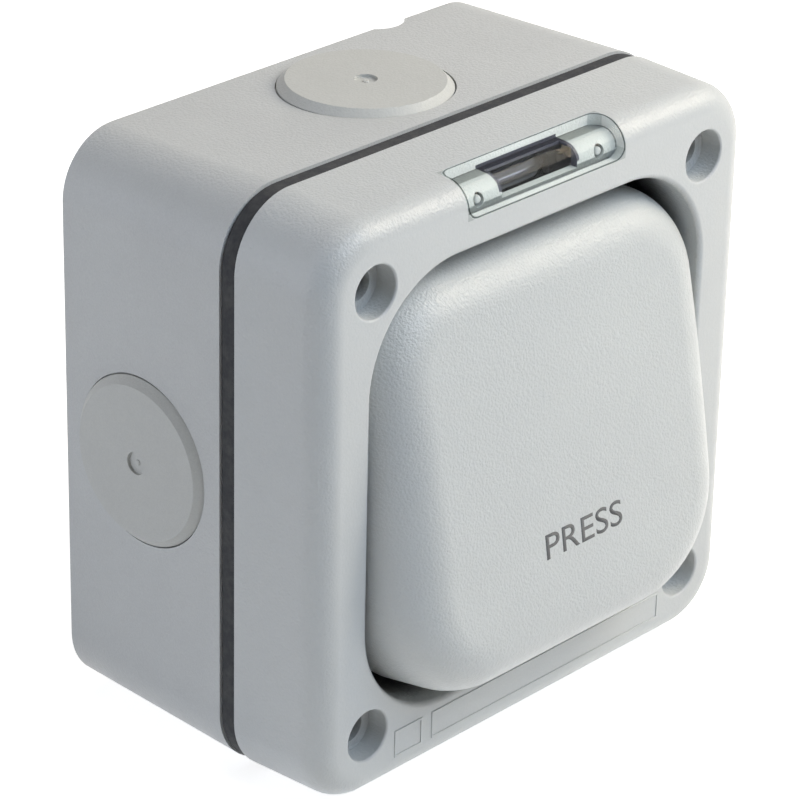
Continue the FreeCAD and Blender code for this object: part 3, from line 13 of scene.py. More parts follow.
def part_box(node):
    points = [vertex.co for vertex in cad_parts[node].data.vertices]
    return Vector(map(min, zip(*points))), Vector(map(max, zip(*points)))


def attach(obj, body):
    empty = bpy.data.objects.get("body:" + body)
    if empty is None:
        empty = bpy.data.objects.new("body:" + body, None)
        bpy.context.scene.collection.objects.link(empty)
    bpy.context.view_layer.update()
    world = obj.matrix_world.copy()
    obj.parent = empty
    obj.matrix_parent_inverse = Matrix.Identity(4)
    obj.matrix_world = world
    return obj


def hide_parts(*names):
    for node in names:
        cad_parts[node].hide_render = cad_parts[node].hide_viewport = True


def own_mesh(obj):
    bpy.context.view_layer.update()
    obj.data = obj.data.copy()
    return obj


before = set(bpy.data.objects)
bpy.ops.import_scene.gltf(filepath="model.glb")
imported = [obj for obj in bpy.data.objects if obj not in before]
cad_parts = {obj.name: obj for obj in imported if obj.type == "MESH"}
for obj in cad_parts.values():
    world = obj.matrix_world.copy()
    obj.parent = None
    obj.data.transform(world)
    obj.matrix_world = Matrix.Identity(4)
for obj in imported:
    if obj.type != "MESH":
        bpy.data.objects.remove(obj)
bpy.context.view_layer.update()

MM = 0.001
LOG = logging.getLogger("weatherproof_switch")
Colour = tuple[float, float, float]
Paint = tuple[float, float, float, float]
Point = tuple[float, float, float]

# Outline of the indicator lens in millimetres: half width, lower edge, and rear edge on the top face
LENS_HALF = 15.72
LENS_LOW = 37.48
LENS_BACK = -43.28
# Angle over which an edge of a CAD piece stays sharp, and how much larger faces steer its shading
SHARP_ANGLE = 30
FACE_WEIGHT = 60
WELD_REACH = 0.001


class Axis(Enum):
    """A direction that a turned piece is built along, as the turn that brings Z onto it."""

    X = Matrix.Rotation(math.pi / 2, 4, "Y")
    FRONT = Matrix.Rotation(math.pi / 2, 4, "X")
    UP = Matrix.Identity(4)


class Side(Enum):
    """Left or right of the middle, seen from the front."""

    LEFT = -1
    RIGHT = 1


def linear(value: float) -> float:
    """One sRGB channel, 0 to 255, as linear light."""
    share = value / 255
    return share / 12.92 if share <= 0.04045 else ((share + 0.055) / 1.055) ** 2.4


def paint(red: float, green: float, blue: float) -> Paint:
    """A colour written as sRGB, 0 to 255, as a node socket takes it."""
    return (linear(red), linear(green), linear(blue), 1.0)


class Recipe:
    """The node tree of one material while it is being written."""

    def __init__(self, name: str) -> None:
        """Start an empty tree.

        Args:
            name: The material's name.
        """
        self.material = bpy.data.materials.new(name)
        self.material.use_nodes = True
        self.tree = self.material.node_tree
        self.tree.nodes.clear()
        self.place = self.add("ShaderNodeTexCoord").outputs["Object"]

    def add(self, kind: str, sockets: dict | None = None, **settings: object) -> bpy.types.Node:
        """Add a node.

        Args:
            kind: The node's type.
            sockets: Input names or numbers, each with a value or with the socket to link.
            settings: The node's own settings.

        Returns:
            The new node.
        """
        node = self.tree.nodes.new(kind)
        for name, value in settings.items():
            setattr(node, name, value)
        for name, value in (sockets or {}).items():
            if isinstance(value, bpy.types.NodeSocket):
                self.tree.links.new(value, node.inputs[name])
            else:
                node.inputs[name].default_value = value
        return node

    def noise(self, scale: float, detail: float = 2.0, rough: float = 0.5,
              stretch: Point = (1, 1, 1)) -> bpy.types.NodeSocket:
        """Noise over the piece, 0 to 1.

        Args:
            scale: Cells in a metre.
            detail: Octaves.
            rough: Share of each finer octave.
            stretch: Scale of the pattern along each axis.

        Returns:
            The noise's factor socket.
        """
        where = self.place
        if stretch != (1, 1, 1):
            where = self.add("ShaderNodeMapping", {"Vector": self.place, "Scale": stretch}).outputs[0]
        node = self.add("ShaderNodeTexNoise", {"Vector": where, "Scale": scale, "Detail": detail, "Roughness": rough})
        return node.outputs["Fac"]

    def pits(self, scale: float) -> bpy.types.NodeSocket:
        """Distance to the nearest of many scattered points, for an eroded grain."""
        node = self.add("ShaderNodeTexVoronoi", {"Vector": self.place, "Scale": scale, "Randomness": 1.0},
                        feature="SMOOTH_F1")
        return node.outputs["Distance"]

    def ramp(self, value: bpy.types.NodeSocket, low: float, high: float, start: float = 0.3,
             end: float = 0.7) -> bpy.types.NodeSocket:
        """Spread a value between two levels.

        Args:
            value: The socket to read.
            low: Level at the start.
            high: Level at the end.
            start: Value that gives the low level.
            end: Value that gives the high level.

        Returns:
            The result socket.
        """
        node = self.add("ShaderNodeMapRange", {0: value, 1: start, 2: end, 3: low, 4: high})
        return node.outputs[0]

    def sum(self, first: bpy.types.NodeSocket, second: bpy.types.NodeSocket | float,
            kind: str = "ADD") -> bpy.types.NodeSocket:
        """Combine two values by one sum."""
        return self.add("ShaderNodeMath", {0: first, 1: second}, operation=kind).outputs[0]

    def within(self, value: bpy.types.NodeSocket, half: float,
               limits: Sequence[tuple[bpy.types.NodeSocket, float, str]]) -> bpy.types.NodeSocket:
        """Whether a value is small and others keep their limits.

        Args:
            value: The value, such as the distance from the middle plane.
            half: The most that it may be, in millimetres.
            limits: Further sockets, each with its limit in millimetres and the comparison to make.

        Returns:
            The socket that is 1 inside and 0 outside.
        """
        inside = self.sum(value, half * MM, "LESS_THAN")
        for other, limit, kind in limits:
            inside = self.sum(inside, self.sum(other, limit * MM, kind), "MULTIPLY")
        return inside

    def axes(self) -> bpy.types.bpy_prop_collection:
        """The place on the piece, split into X, Y and Z."""
        return self.add("ShaderNodeSeparateXYZ", {0: self.place}).outputs

    def blend(self, share: bpy.types.NodeSocket, first: object, second: object) -> bpy.types.NodeSocket:
        """Mix two colours by a share."""
        node = self.add("ShaderNodeMix", {0: share, 6: first, 7: second}, data_type="RGBA")
        return node.outputs[2]

    def bump(self, height: bpy.types.NodeSocket, strength: object, distance: float) -> bpy.types.NodeSocket:
        """Turn a height into a normal.

        Args:
            height: The height, 0 to 1.
            strength: Share of the bump that shows.
            distance: Depth of the relief in metres.

        Returns:
            The normal socket.
        """
        node = self.add("ShaderNodeBump", {"Height": height, "Strength": strength, "Distance": distance})
        return node.outputs[0]

    def surface(self, sockets: dict) -> bpy.types.Node:
        """Add the main shader."""
        return self.add("ShaderNodeBsdfPrincipled", sockets)

    def show(self, shader: bpy.types.NodeSocket) -> bpy.types.Material:
        """Send a shader to the output.

        Args:
            shader: The shader socket that shows.

        Returns:
            The finished material.
        """
        self.add("ShaderNodeOutputMaterial", {"Surface": shader})
        return self.material


@dataclass(frozen=True)
class MouldedPlastic:
    """Moulded plastic with a spark-eroded grain, smoother on the flat front where asked."""

    name: str
    colour: Paint
    shade: Paint
    grain: float = 1.0
    rough: tuple[float, float] = (0.28, 0.4)
    smooth_front: float | None = None
    smooth_share: float = 0.22
    smooth_depth: float = 0.5
    relief: float = 0.075
    fine_cells: float = 4200.0
    pit_cells: float = 2600.0
    cloud_cells: float = 55.0
    gloss_cells: float = 900.0

    def make(self) -> bpy.types.Material:
        """Write the material and return it."""
        recipe = Recipe(self.name)
        fine = recipe.noise(self.fine_cells, 2.0, 0.55)
        pits = recipe.pits(self.pit_cells)
        height = recipe.sum(recipe.sum(fine, 0.8, "MULTIPLY"), recipe.sum(pits, 0.9, "MULTIPLY"))
        cloud = recipe.ramp(recipe.noise(self.cloud_cells, 4.0, 0.55), 0.0, 1.0, 0.32, 0.68)
        speck = recipe.ramp(fine, 0.0, 1.0, 0.35, 0.66)
        tone = recipe.sum(recipe.sum(cloud, 0.45, "MULTIPLY"), recipe.sum(speck, 0.55, "MULTIPLY"))
        strength: object = self.grain
        if self.smooth_front is not None:
            edge = self.smooth_front * MM
            strength = recipe.ramp(recipe.axes()["Y"], self.grain * self.smooth_share, self.grain,
                                   edge, edge + self.smooth_depth * MM)
        shader = recipe.surface({
            "Base Color": self.stain_and_painted_shade(recipe, recipe.blend(tone, self.shade, self.colour)),
            "Roughness": recipe.ramp(recipe.noise(self.gloss_cells, 2.0), self.rough[0], self.rough[1]),
            "IOR": 1.5,
            "Specular IOR Level": 0.46,
            "Normal": recipe.bump(height, strength, self.relief * MM),
        })
        return recipe.show(shader.outputs[0])

    def stain_and_painted_shade(self, recipe: Recipe, colour: bpy.types.NodeSocket) -> bpy.types.NodeSocket:
        """The colour, left as it is."""
        return colour


@dataclass(frozen=True)
class CoverPlastic(MouldedPlastic):
    """The cover's plastic, with painted shade: darker down in its well, under the lens and on the walls of the lamp's
    opening.
    """

    # Painted shade colours: for the well's depths, for the plastic under the lens and for the walls of the lamp's
    # opening
    well_shade: Paint = paint(60, 62, 66)
    window_shade: Paint = paint(52, 53, 66)
    bed_shade: Paint = paint(166, 171, 170)
    well_half: float = 36.0
    well_start: float = -47.0
    well_end: float = -39.5
    window_half: float = 8.0
    window_low: float = 38.0
    bed_front: float = -47.5
    bed_top: float = 41.3

    def stain_and_painted_shade(self, recipe: Recipe, colour: bpy.types.NodeSocket) -> bpy.types.NodeSocket:
        """The colour with painted shade: darker with depth down the well, under the lens and on the walls of the
        lamp's opening.
        """
        place = recipe.axes()
        across = recipe.sum(place["X"], 0.0, "ABSOLUTE")
        wide = recipe.sum(across, recipe.sum(place["Z"], 0.0, "ABSOLUTE"), "MAXIMUM")
        depth = recipe.ramp(place["Y"], 0.0, 1.0, self.well_start * MM, self.well_end * MM)
        well = recipe.sum(recipe.within(wide, self.well_half, ()), depth, "MULTIPLY")
        bed_shade = recipe.within(across, LENS_HALF, (
            (place["Z"], LENS_LOW, "GREATER_THAN"), (place["Y"], LENS_BACK, "LESS_THAN")))
        wall = recipe.within(across, self.window_half, (
            (place["Z"], self.window_low, "GREATER_THAN"), (place["Z"], self.bed_top, "LESS_THAN"),
            (place["Y"], self.bed_front, "GREATER_THAN")))
        # Blend the painted shade over the plastic's colour
        for share, tone in ((well, self.well_shade), (bed_shade, self.bed_shade), (wall, self.window_shade)):
            colour = recipe.blend(share, colour, tone)
        return colour


@dataclass(frozen=True)
class SoftRubber:
    """Moulded rubber: dull, faintly dusty, with a fine skin."""

    name: str
    colour: Paint
    dust: Paint
    rough: float = 0.62

    def make(self) -> bpy.types.Material:
        """Write the material and return it."""
        recipe = Recipe(self.name)
        dust = recipe.ramp(recipe.noise(420.0, 5.0, 0.65), 0.0, 1.0, 0.42, 0.72)
        skin = recipe.noise(2600.0, 3.0, 0.6)
        shader = recipe.surface({
            "Base Color": recipe.blend(dust, self.colour, self.dust),
            "Roughness": recipe.ramp(skin, self.rough - 0.08, self.rough + 0.12),
            "IOR": 1.42,
            "Specular IOR Level": 0.3,
            "Normal": recipe.bump(skin, 0.5, 0.03 * MM),
        })
        return recipe.show(shader.outputs[0])


@dataclass(frozen=True)
class ClearSkin:
    """Clear plastic or glass: a gloss coat over a body that lets the lamps reach what lies behind it."""

    name: str
    tint: Paint
    # Colour of the painted shade at the edges of the clear body
    rim_shade: Paint
    bend: float
    gloss: float
    rough: tuple[float, float]
    clear: float = 1.0

    def make(self) -> bpy.types.Material:
        """Write the material and return it."""
        recipe = Recipe(self.name)
        waves = recipe.noise(260.0, 3.0, 0.5)
        marks = recipe.noise(1500.0, 4.0, 0.7, (0.25, 1.0, 1.0))
        glass = recipe.surface({
            "Base Color": recipe.blend(self.edge(recipe), self.tint, self.rim_shade),
            "Roughness": recipe.ramp(marks, self.rough[0], self.rough[1], 0.45, 0.75),
            "IOR": self.bend,
            "Transmission Weight": self.clear,
            "Coat Weight": self.gloss,
            "Coat Roughness": self.rough[0],
            "Coat IOR": 1.49,
            "Coat Normal": recipe.bump(waves, 0.12, 0.05 * MM),
        })
        clear = recipe.add("ShaderNodeBsdfTransparent", {"Color": self.tint})
        path = recipe.add("ShaderNodeLightPath")
        mix = recipe.add("ShaderNodeMixShader", {
            0: path.outputs["Is Shadow Ray"], 1: glass.outputs[0], 2: clear.outputs[0]})
        return recipe.show(mix.outputs[0])

    def edge(self, recipe: Recipe) -> bpy.types.NodeSocket:
        """Share of the painted edge shade, which grows where the surface turns away."""
        facing = recipe.add("ShaderNodeLayerWeight", {"Blend": 0.5}).outputs["Facing"]
        return recipe.ramp(facing, 0.0, 1.0, 0.55, 0.95)


@dataclass(frozen=True)
class LensSkin(ClearSkin):
    """Clear lens whose walls carry painted shade along its rounded outline."""

    corner: float = 2.0
    wall: float = 0.26
    skin_end: float = 0.985

    def edge(self, recipe: Recipe) -> bpy.types.NodeSocket:
        """Share of the painted edge shade, from the distance to the outline."""
        place = recipe.axes()
        turn = self.corner * MM
        half, low, back = LENS_HALF * MM, LENS_LOW * MM, LENS_BACK * MM
        across = recipe.ramp(recipe.sum(place["X"], 0.0, "ABSOLUTE"), 0.0, 1.0, half - turn, half)
        down = recipe.ramp(place["Z"], 1.0, 0.0, low, low + turn)
        behind = recipe.ramp(place["Y"], 0.0, 1.0, back - turn, back)
        along = recipe.sum(down, behind, "MAXIMUM")
        far = recipe.sum(recipe.sum(across, 2.0, "POWER"), recipe.sum(along, 2.0, "POWER"))
        far = recipe.sum(far, 0.5, "POWER")
        start = 1 - self.wall / self.corner
        skin = recipe.sum(far, self.skin_end, "LESS_THAN")
        return recipe.sum(recipe.ramp(far, 0.0, 1.0, start - 0.04, start + 0.01), skin, "MULTIPLY")


@dataclass(frozen=True)
class DrawnMetal:
    """Metal with drawing or rolling lines, a few dull spots and a soft stain."""

    name: str
    colour: Paint
    stain_and_painted_shade: Paint
    rough: tuple[float, float]
    lines: Point = (1.0, 1.0, 1.0)

    def make(self) -> bpy.types.Material:
        """Write the material and return it."""
        recipe = Recipe(self.name)
        stain_and_painted_shade = recipe.ramp(recipe.noise(320.0, 4.0, 0.6), 0.0, 1.0, 0.46, 0.74)
        lines = recipe.noise(1900.0, 3.0, 0.55, self.lines)
        shader = recipe.surface({
            "Base Color": recipe.blend(stain_and_painted_shade, self.colour, self.stain_and_painted_shade),
            "Metallic": 1.0,
            "Roughness": recipe.ramp(lines, self.rough[0], self.rough[1]),
            "Normal": recipe.bump(lines, 0.35, 0.02 * MM),
        })
        return recipe.show(shader.outputs[0])


@dataclass(frozen=True)
class ResistorLacquer:
    """Lacquered resistor body with four bands, read along X."""

    name: str = "resistor_lacquer"
    start: float = 9.7
    body: Paint = paint(206, 178, 134)
    bands: tuple[tuple[float, Paint], ...] = (
        (2.5, paint(120, 70, 36)), (3.9, paint(24, 22, 22)), (5.3, paint(206, 178, 46)), (6.9, paint(168, 128, 56)))
    wide: float = 0.62
    lead: Paint = paint(176, 178, 180)

    def make(self) -> bpy.types.Material:
        """Write the material and return it."""
        recipe = Recipe(self.name)
        along = recipe.axes()["X"]
        colour: object = self.body
        for offset, band in self.bands:
            middle = (self.start + offset + self.wide / 2) * MM
            gap = recipe.sum(recipe.sum(along, middle, "SUBTRACT"), 0.0, "ABSOLUTE")
            inside = recipe.sum(gap, self.wide / 2 * MM, "LESS_THAN")
            colour = recipe.blend(inside, colour, band)
        speck = recipe.noise(1700.0, 3.0)
        shader = recipe.surface({
            "Base Color": recipe.blend(recipe.ramp(speck, 0.0, 0.18), colour, self.lead),
            "Roughness": recipe.ramp(speck, 0.22, 0.36),
            "Coat Weight": 0.4,
            "Normal": recipe.bump(speck, 0.2, 0.03 * MM),
        })
        return recipe.show(shader.outputs[0])


@dataclass(frozen=True)
class PadPrint:
    """Printed ink: even, slightly worn through at the grain's peaks."""

    name: str
    ink: Paint
    worn: Paint

    def make(self) -> bpy.types.Material:
        """Write the material and return it."""
        recipe = Recipe(self.name)
        grain = recipe.noise(3100.0, 3.0, 0.62)
        worn = recipe.ramp(grain, 0.0, 0.55, 0.52, 0.8)
        shader = recipe.surface({
            "Base Color": recipe.blend(worn, self.ink, self.worn),
            "Roughness": recipe.ramp(grain, 0.46, 0.6),
            "Normal": recipe.bump(grain, 0.5, 0.03 * MM),
        })
        return recipe.show(shader.outputs[0])


class Finish(Enum):
    """Every finish of the switch, under the name of the part's material slot that it dresses."""

    HOUSING = MouldedPlastic("housing_grey", paint(199, 201, 200), paint(189, 191, 191), 0.85)
    COVER = CoverPlastic("cover_grey", paint(199, 201, 200), paint(194, 197, 197), smooth_front=-49.15)
    PADDLE = MouldedPlastic("paddle_grey", paint(197, 200, 199), paint(191, 194, 194), 1.15)
    PLUG = MouldedPlastic("plug_grey", paint(199, 200, 196), paint(190, 191, 188), 0.45, (0.46, 0.6))
    GASKET = SoftRubber("gasket_rubber", paint(52, 53, 56), paint(74, 74, 74), 0.7)
    BOOT = SoftRubber("boot_rubber", paint(38, 38, 40), paint(60, 60, 60), 0.5)
    # The second colour of the lens and of the lamp glass is their painted edge shade
    LENS = LensSkin("clear_lens", (0.945, 0.96, 0.953, 1.0), (0.06, 0.07, 0.07, 1.0),
                    bend=1.02, gloss=0.14, rough=(0.01, 0.04), clear=0.99)
    GLASS = ClearSkin("lamp_glass", (0.76, 0.79, 0.9, 1.0), (0.24, 0.26, 0.34, 1.0),
                      bend=1.12, gloss=1.0, rough=(0.0, 0.02))
    REFLECTOR = DrawnMetal("bright_metal", paint(46, 47, 58), paint(34, 35, 44), (0.1, 0.24), (0.1, 1.0, 1.0))
    NICKEL = DrawnMetal("nickel_wire", paint(226, 226, 224), paint(198, 198, 200), (0.1, 0.22), (0.08, 1.0, 1.0))
    SPRING = DrawnMetal("spring_steel", paint(178, 180, 183), paint(150, 150, 152), (0.18, 0.34))
    NYLON = MouldedPlastic("plunger_white", paint(232, 232, 226), paint(222, 221, 214), 0.35, (0.32, 0.44))
    MODULE = MouldedPlastic("module_black", paint(46, 46, 48), paint(36, 36, 38), 0.5, (0.34, 0.48))
    BRASS = DrawnMetal("brass", paint(214, 178, 104), paint(176, 138, 78), (0.2, 0.38), (0.15, 1.0, 1.0))
    ZINC = DrawnMetal("zinc_screw", paint(196, 198, 202), paint(168, 170, 172), (0.22, 0.42))
    RESISTOR = ResistorLacquer()
    INK = PadPrint("print_ink", paint(84, 85, 86), paint(128, 130, 130))

    @property
    def slot(self) -> str:
        """The part's material slot for this finish."""
        shared = {Finish.RESISTOR: "resistor_body", Finish.NICKEL: "bright_metal"}
        return shared.get(self, self.value.name)

    def material(self) -> bpy.types.Material:
        """The finish's material, made the first time it is asked for."""
        found = bpy.data.materials.get("finish_" + self.value.name)
        if found is None:
            found = self.value.make()
            found.name = "finish_" + self.value.name
        return found


def let_go() -> None:
    """Leave edit mode and deselect every object."""
    if bpy.context.object is not None and bpy.context.object.mode != "OBJECT":
        bpy.ops.object.mode_set(mode="OBJECT")
    bpy.ops.object.select_all(action="DESELECT")


def take(piece: bpy.types.Object) -> None:
    """Make a piece the only selected one and the active one."""
    let_go()
    piece.select_set(True)
    bpy.context.view_layer.objects.active = piece


def settle(piece: bpy.types.Object, placing: Matrix | None = None) -> None:
    """Put a piece's place into its mesh, so that its object sits at the origin.

    Args:
        piece: The piece.
        placing: A further placing in the row frame.
    """
    take(piece)
    bpy.ops.object.transform_apply(location=True, rotation=True, scale=True)
    if placing is not None:
        piece.data.transform(placing)


def name_piece(name: str) -> bpy.types.Object:
    """Name the primitive that was just added, and its mesh."""
    piece = bpy.context.object
    piece.name = name
    piece.data.name = name
    return piece


def choose(piece: bpy.types.Object, test: Callable[[Vector, Vector], bool]) -> None:
    """Open a piece in edit mode with some faces selected.

    Args:
        piece: The piece.
        test: Says from a face's centre and normal whether it is wanted.
    """
    take(piece)
    mesh = piece.data
    for vertex in mesh.vertices:
        vertex.select = False
    for edge in mesh.edges:
        edge.select = False
    for face in mesh.polygons:
        face.select = bool(test(face.center, face.normal))
    bpy.context.tool_settings.mesh_select_mode = (False, False, True)
    bpy.ops.object.mode_set(mode="EDIT")


def choose_all(piece: bpy.types.Object) -> None:
    """Open a piece in edit mode with everything selected."""
    take(piece)
    bpy.ops.object.mode_set(mode="EDIT")
    bpy.ops.mesh.select_all(action="SELECT")


def finish_modifier(piece: bpy.types.Object, kind: str, **settings: object) -> None:
    """Add a modifier and apply it.

    Args:
        piece: The piece.
        kind: The modifier's type.
        settings: Its settings.
    """
    take(piece)
    modifier = piece.modifiers.new(kind.lower(), kind)
    for name, value in settings.items():
        setattr(modifier, name, value)
    bpy.ops.object.modifier_apply(modifier=modifier.name)


def smooth(piece: bpy.types.Object, degrees: float = 32.0) -> None:
    """Shade a piece smooth, keeping the edges sharper than an angle."""
    take(piece)
    bpy.ops.object.shade_smooth_by_angle(angle=math.radians(degrees))


def dress(piece: bpy.types.Object, finish: Finish, body: str) -> bpy.types.Object:
    """Give a new piece its finish and the body it moves with.

    Args:
        piece: The piece.
        finish: Its finish.
        body: The CAD body.

    Returns:
        The piece.
    """
    piece.data.materials.clear()
    piece.data.materials.append(finish.material())
    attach(piece, body)
    return piece


def dress_node(name: str, finish: Finish) -> None:
    """Give a CAD node its finish, and even shading across its joined faces.

    Args:
        name: The node.
        finish: Its finish.
    """
    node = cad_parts[name]
    for slot in node.material_slots:
        slot.material = finish.material()
    weld = node.modifiers.new("weld", "WELD")
    weld.merge_threshold = WELD_REACH * MM
    split = node.modifiers.new("split", "EDGE_SPLIT")
    split.split_angle = math.radians(SHARP_ANGLE)
    even = node.modifiers.new("even", "WEIGHTED_NORMAL")
    even.weight = FACE_WEIGHT
    LOG.info("dressed %s", name)


def ring_stack(name: str, axis: Axis, centre: Point, rings: Sequence[tuple[float, float]], sides: int = 48,
               closed: bool = False) -> bpy.types.Object:
    """Build a turned piece ring by ring, each extruded from the last.

    Args:
        name: The piece's name.
        axis: The direction that the rings follow.
        centre: Where the axis starts, in metres.
        rings: Radius and distance along the axis of each ring, in millimetres. A radius of 0 closes an end.
        sides: Faces round the axis.
        closed: Whether the last ring joins the first.

    Returns:
        The piece, with its place in its mesh.
    """
    let_go()
    least = 0.001
    radius, along = rings[0]
    bpy.ops.mesh.primitive_circle_add(vertices=sides, radius=max(radius, least) * MM, fill_type="NOTHING",
                                      location=(0, 0, along * MM))
    piece = name_piece(name)
    settle(piece)
    take(piece)
    bpy.context.tool_settings.mesh_select_mode = (False, True, False)
    bpy.ops.object.mode_set(mode="EDIT")
    bpy.ops.mesh.select_all(action="SELECT")
    before = max(radius, least)
    for radius, next_along in rings[1:]:
        bpy.ops.mesh.extrude_edges_move(TRANSFORM_OT_translate={"value": (0, 0, (next_along - along) * MM)})
        scale = max(radius, least) / before
        bpy.ops.transform.resize(value=(scale, scale, 1), center_override=(0, 0, next_along * MM))
        before = max(radius, least)
        along = next_along
    if closed:
        bpy.ops.mesh.select_all(action="SELECT")
        bpy.ops.mesh.region_to_loop()
        bpy.ops.mesh.bridge_edge_loops()
    bpy.ops.mesh.select_all(action="SELECT")
    bpy.ops.mesh.remove_doubles(threshold=least * 1.5 * MM)
    bpy.ops.mesh.normals_make_consistent(inside=False)
    bpy.ops.object.mode_set(mode="OBJECT")
    settle(piece, Matrix.Translation(centre) @ axis.value)
    return piece


def wire(name: str, points: Sequence[Point], radius: float, sides: int = 4) -> bpy.types.Object:
    """Bend a wire along points.

    Args:
        name: The piece's name.
        points: The wire's five bends, in millimetres.
        radius: The wire's radius in millimetres.
        sides: Steps of a quarter turn round the wire.

    Returns:
        The wire as a mesh.
    """
    let_go()
    bpy.ops.curve.primitive_nurbs_path_add()
    path = bpy.context.object
    spline = path.data.splines[0]
    for knot, point in zip(spline.points, points):
        knot.co = (*[value * MM for value in point], 1)
    spline.order_u = 3
    spline.use_endpoint_u = True
    path.data.dimensions = "3D"
    path.data.bevel_depth = radius * MM
    path.data.bevel_resolution = sides
    path.data.use_fill_caps = True
    take(path)
    bpy.ops.object.convert(target="MESH")
    piece = name_piece(name)
    settle(piece)
    smooth(piece)
    return piece


def coil(name: str, centre: Point, radius: float, wire_radius: float, length: float,
         turns: float) -> bpy.types.Object:
    """Wind a compression spring that stands on a plane and points to the front.

    Args:
        name: The piece's name.
        centre: Middle of its rear end, in metres.
        radius: Mean radius in millimetres.
        wire_radius: Radius of the wire in millimetres.
        length: Free length in millimetres.
        turns: Number of turns.

    Returns:
        The spring as a mesh, with both ends closed.
    """
    let_go()
    bpy.ops.mesh.primitive_circle_add(vertices=12, radius=wire_radius * MM, fill_type="NOTHING",
                                      location=(radius * MM, 0, wire_radius * MM), rotation=(math.pi / 2, 0, 0))
    piece = name_piece(name)
    settle(piece)
    steps = round(30 * turns)
    finish_modifier(piece, "SCREW", axis="Z", angle=math.tau * turns, screw_offset=(length - wire_radius * 2) * MM,
                    iterations=1, steps=steps, render_steps=steps, use_normal_calculate=True)
    take(piece)
    bpy.context.tool_settings.mesh_select_mode = (False, True, False)
    bpy.ops.object.mode_set(mode="EDIT")
    bpy.ops.mesh.select_all(action="DESELECT")
    bpy.ops.mesh.select_non_manifold()
    bpy.ops.mesh.fill_holes(sides=0)
    bpy.ops.mesh.select_all(action="SELECT")
    bpy.ops.mesh.normals_make_consistent(inside=False)
    bpy.ops.object.mode_set(mode="OBJECT")
    settle(piece, Matrix.Translation(centre) @ Axis.FRONT.value)
    smooth(piece)
    return piece


@dataclass
class Housing:
    """Back box with its blanking plugs and their seal rings."""

    body: str = "housing"
    pip_radius: float = 0.42
    pip_rise: float = 0.2
    dimple_floor: float = 43.27
    half_depth: float = 15.45

    def build(self) -> None:
        """Dress the CAD pieces and add the moulding pips of the plugs."""
        dress_node("back_box", Finish.HOUSING)
        for side, turn in (("top", 0), ("left", -90), ("right", 90)):
            dress_node(side + "_plug", Finish.PLUG)
            dress_node(side + "_plug_seal", Finish.GASKET)
            self.add_pip(side, turn)

    def add_pip(self, side: str, turn: float) -> None:
        """Add the small gate mark in a plug's dimple.

        Args:
            side: The plug's side.
            turn: Its turn about Y from the top, in degrees.
        """
        high = self.dimple_floor
        rings = [(self.pip_radius, high - 0.05), (self.pip_radius, high + self.pip_rise * 0.5),
                 (self.pip_radius * 0.7, high + self.pip_rise * 0.9), (0, high + self.pip_rise)]
        pip = ring_stack(side + "_plug_pip", Axis.UP, (0, 0, 0), rings, 20)
        placing = Matrix.Rotation(math.radians(turn), 4, "Y")
        settle(pip, Matrix.Translation((0, -self.half_depth * MM, 0)) @ placing)
        smooth(pip, 50)
        dress(pip, Finish.PLUG, self.body)
        LOG.info("%s plug pip", side)


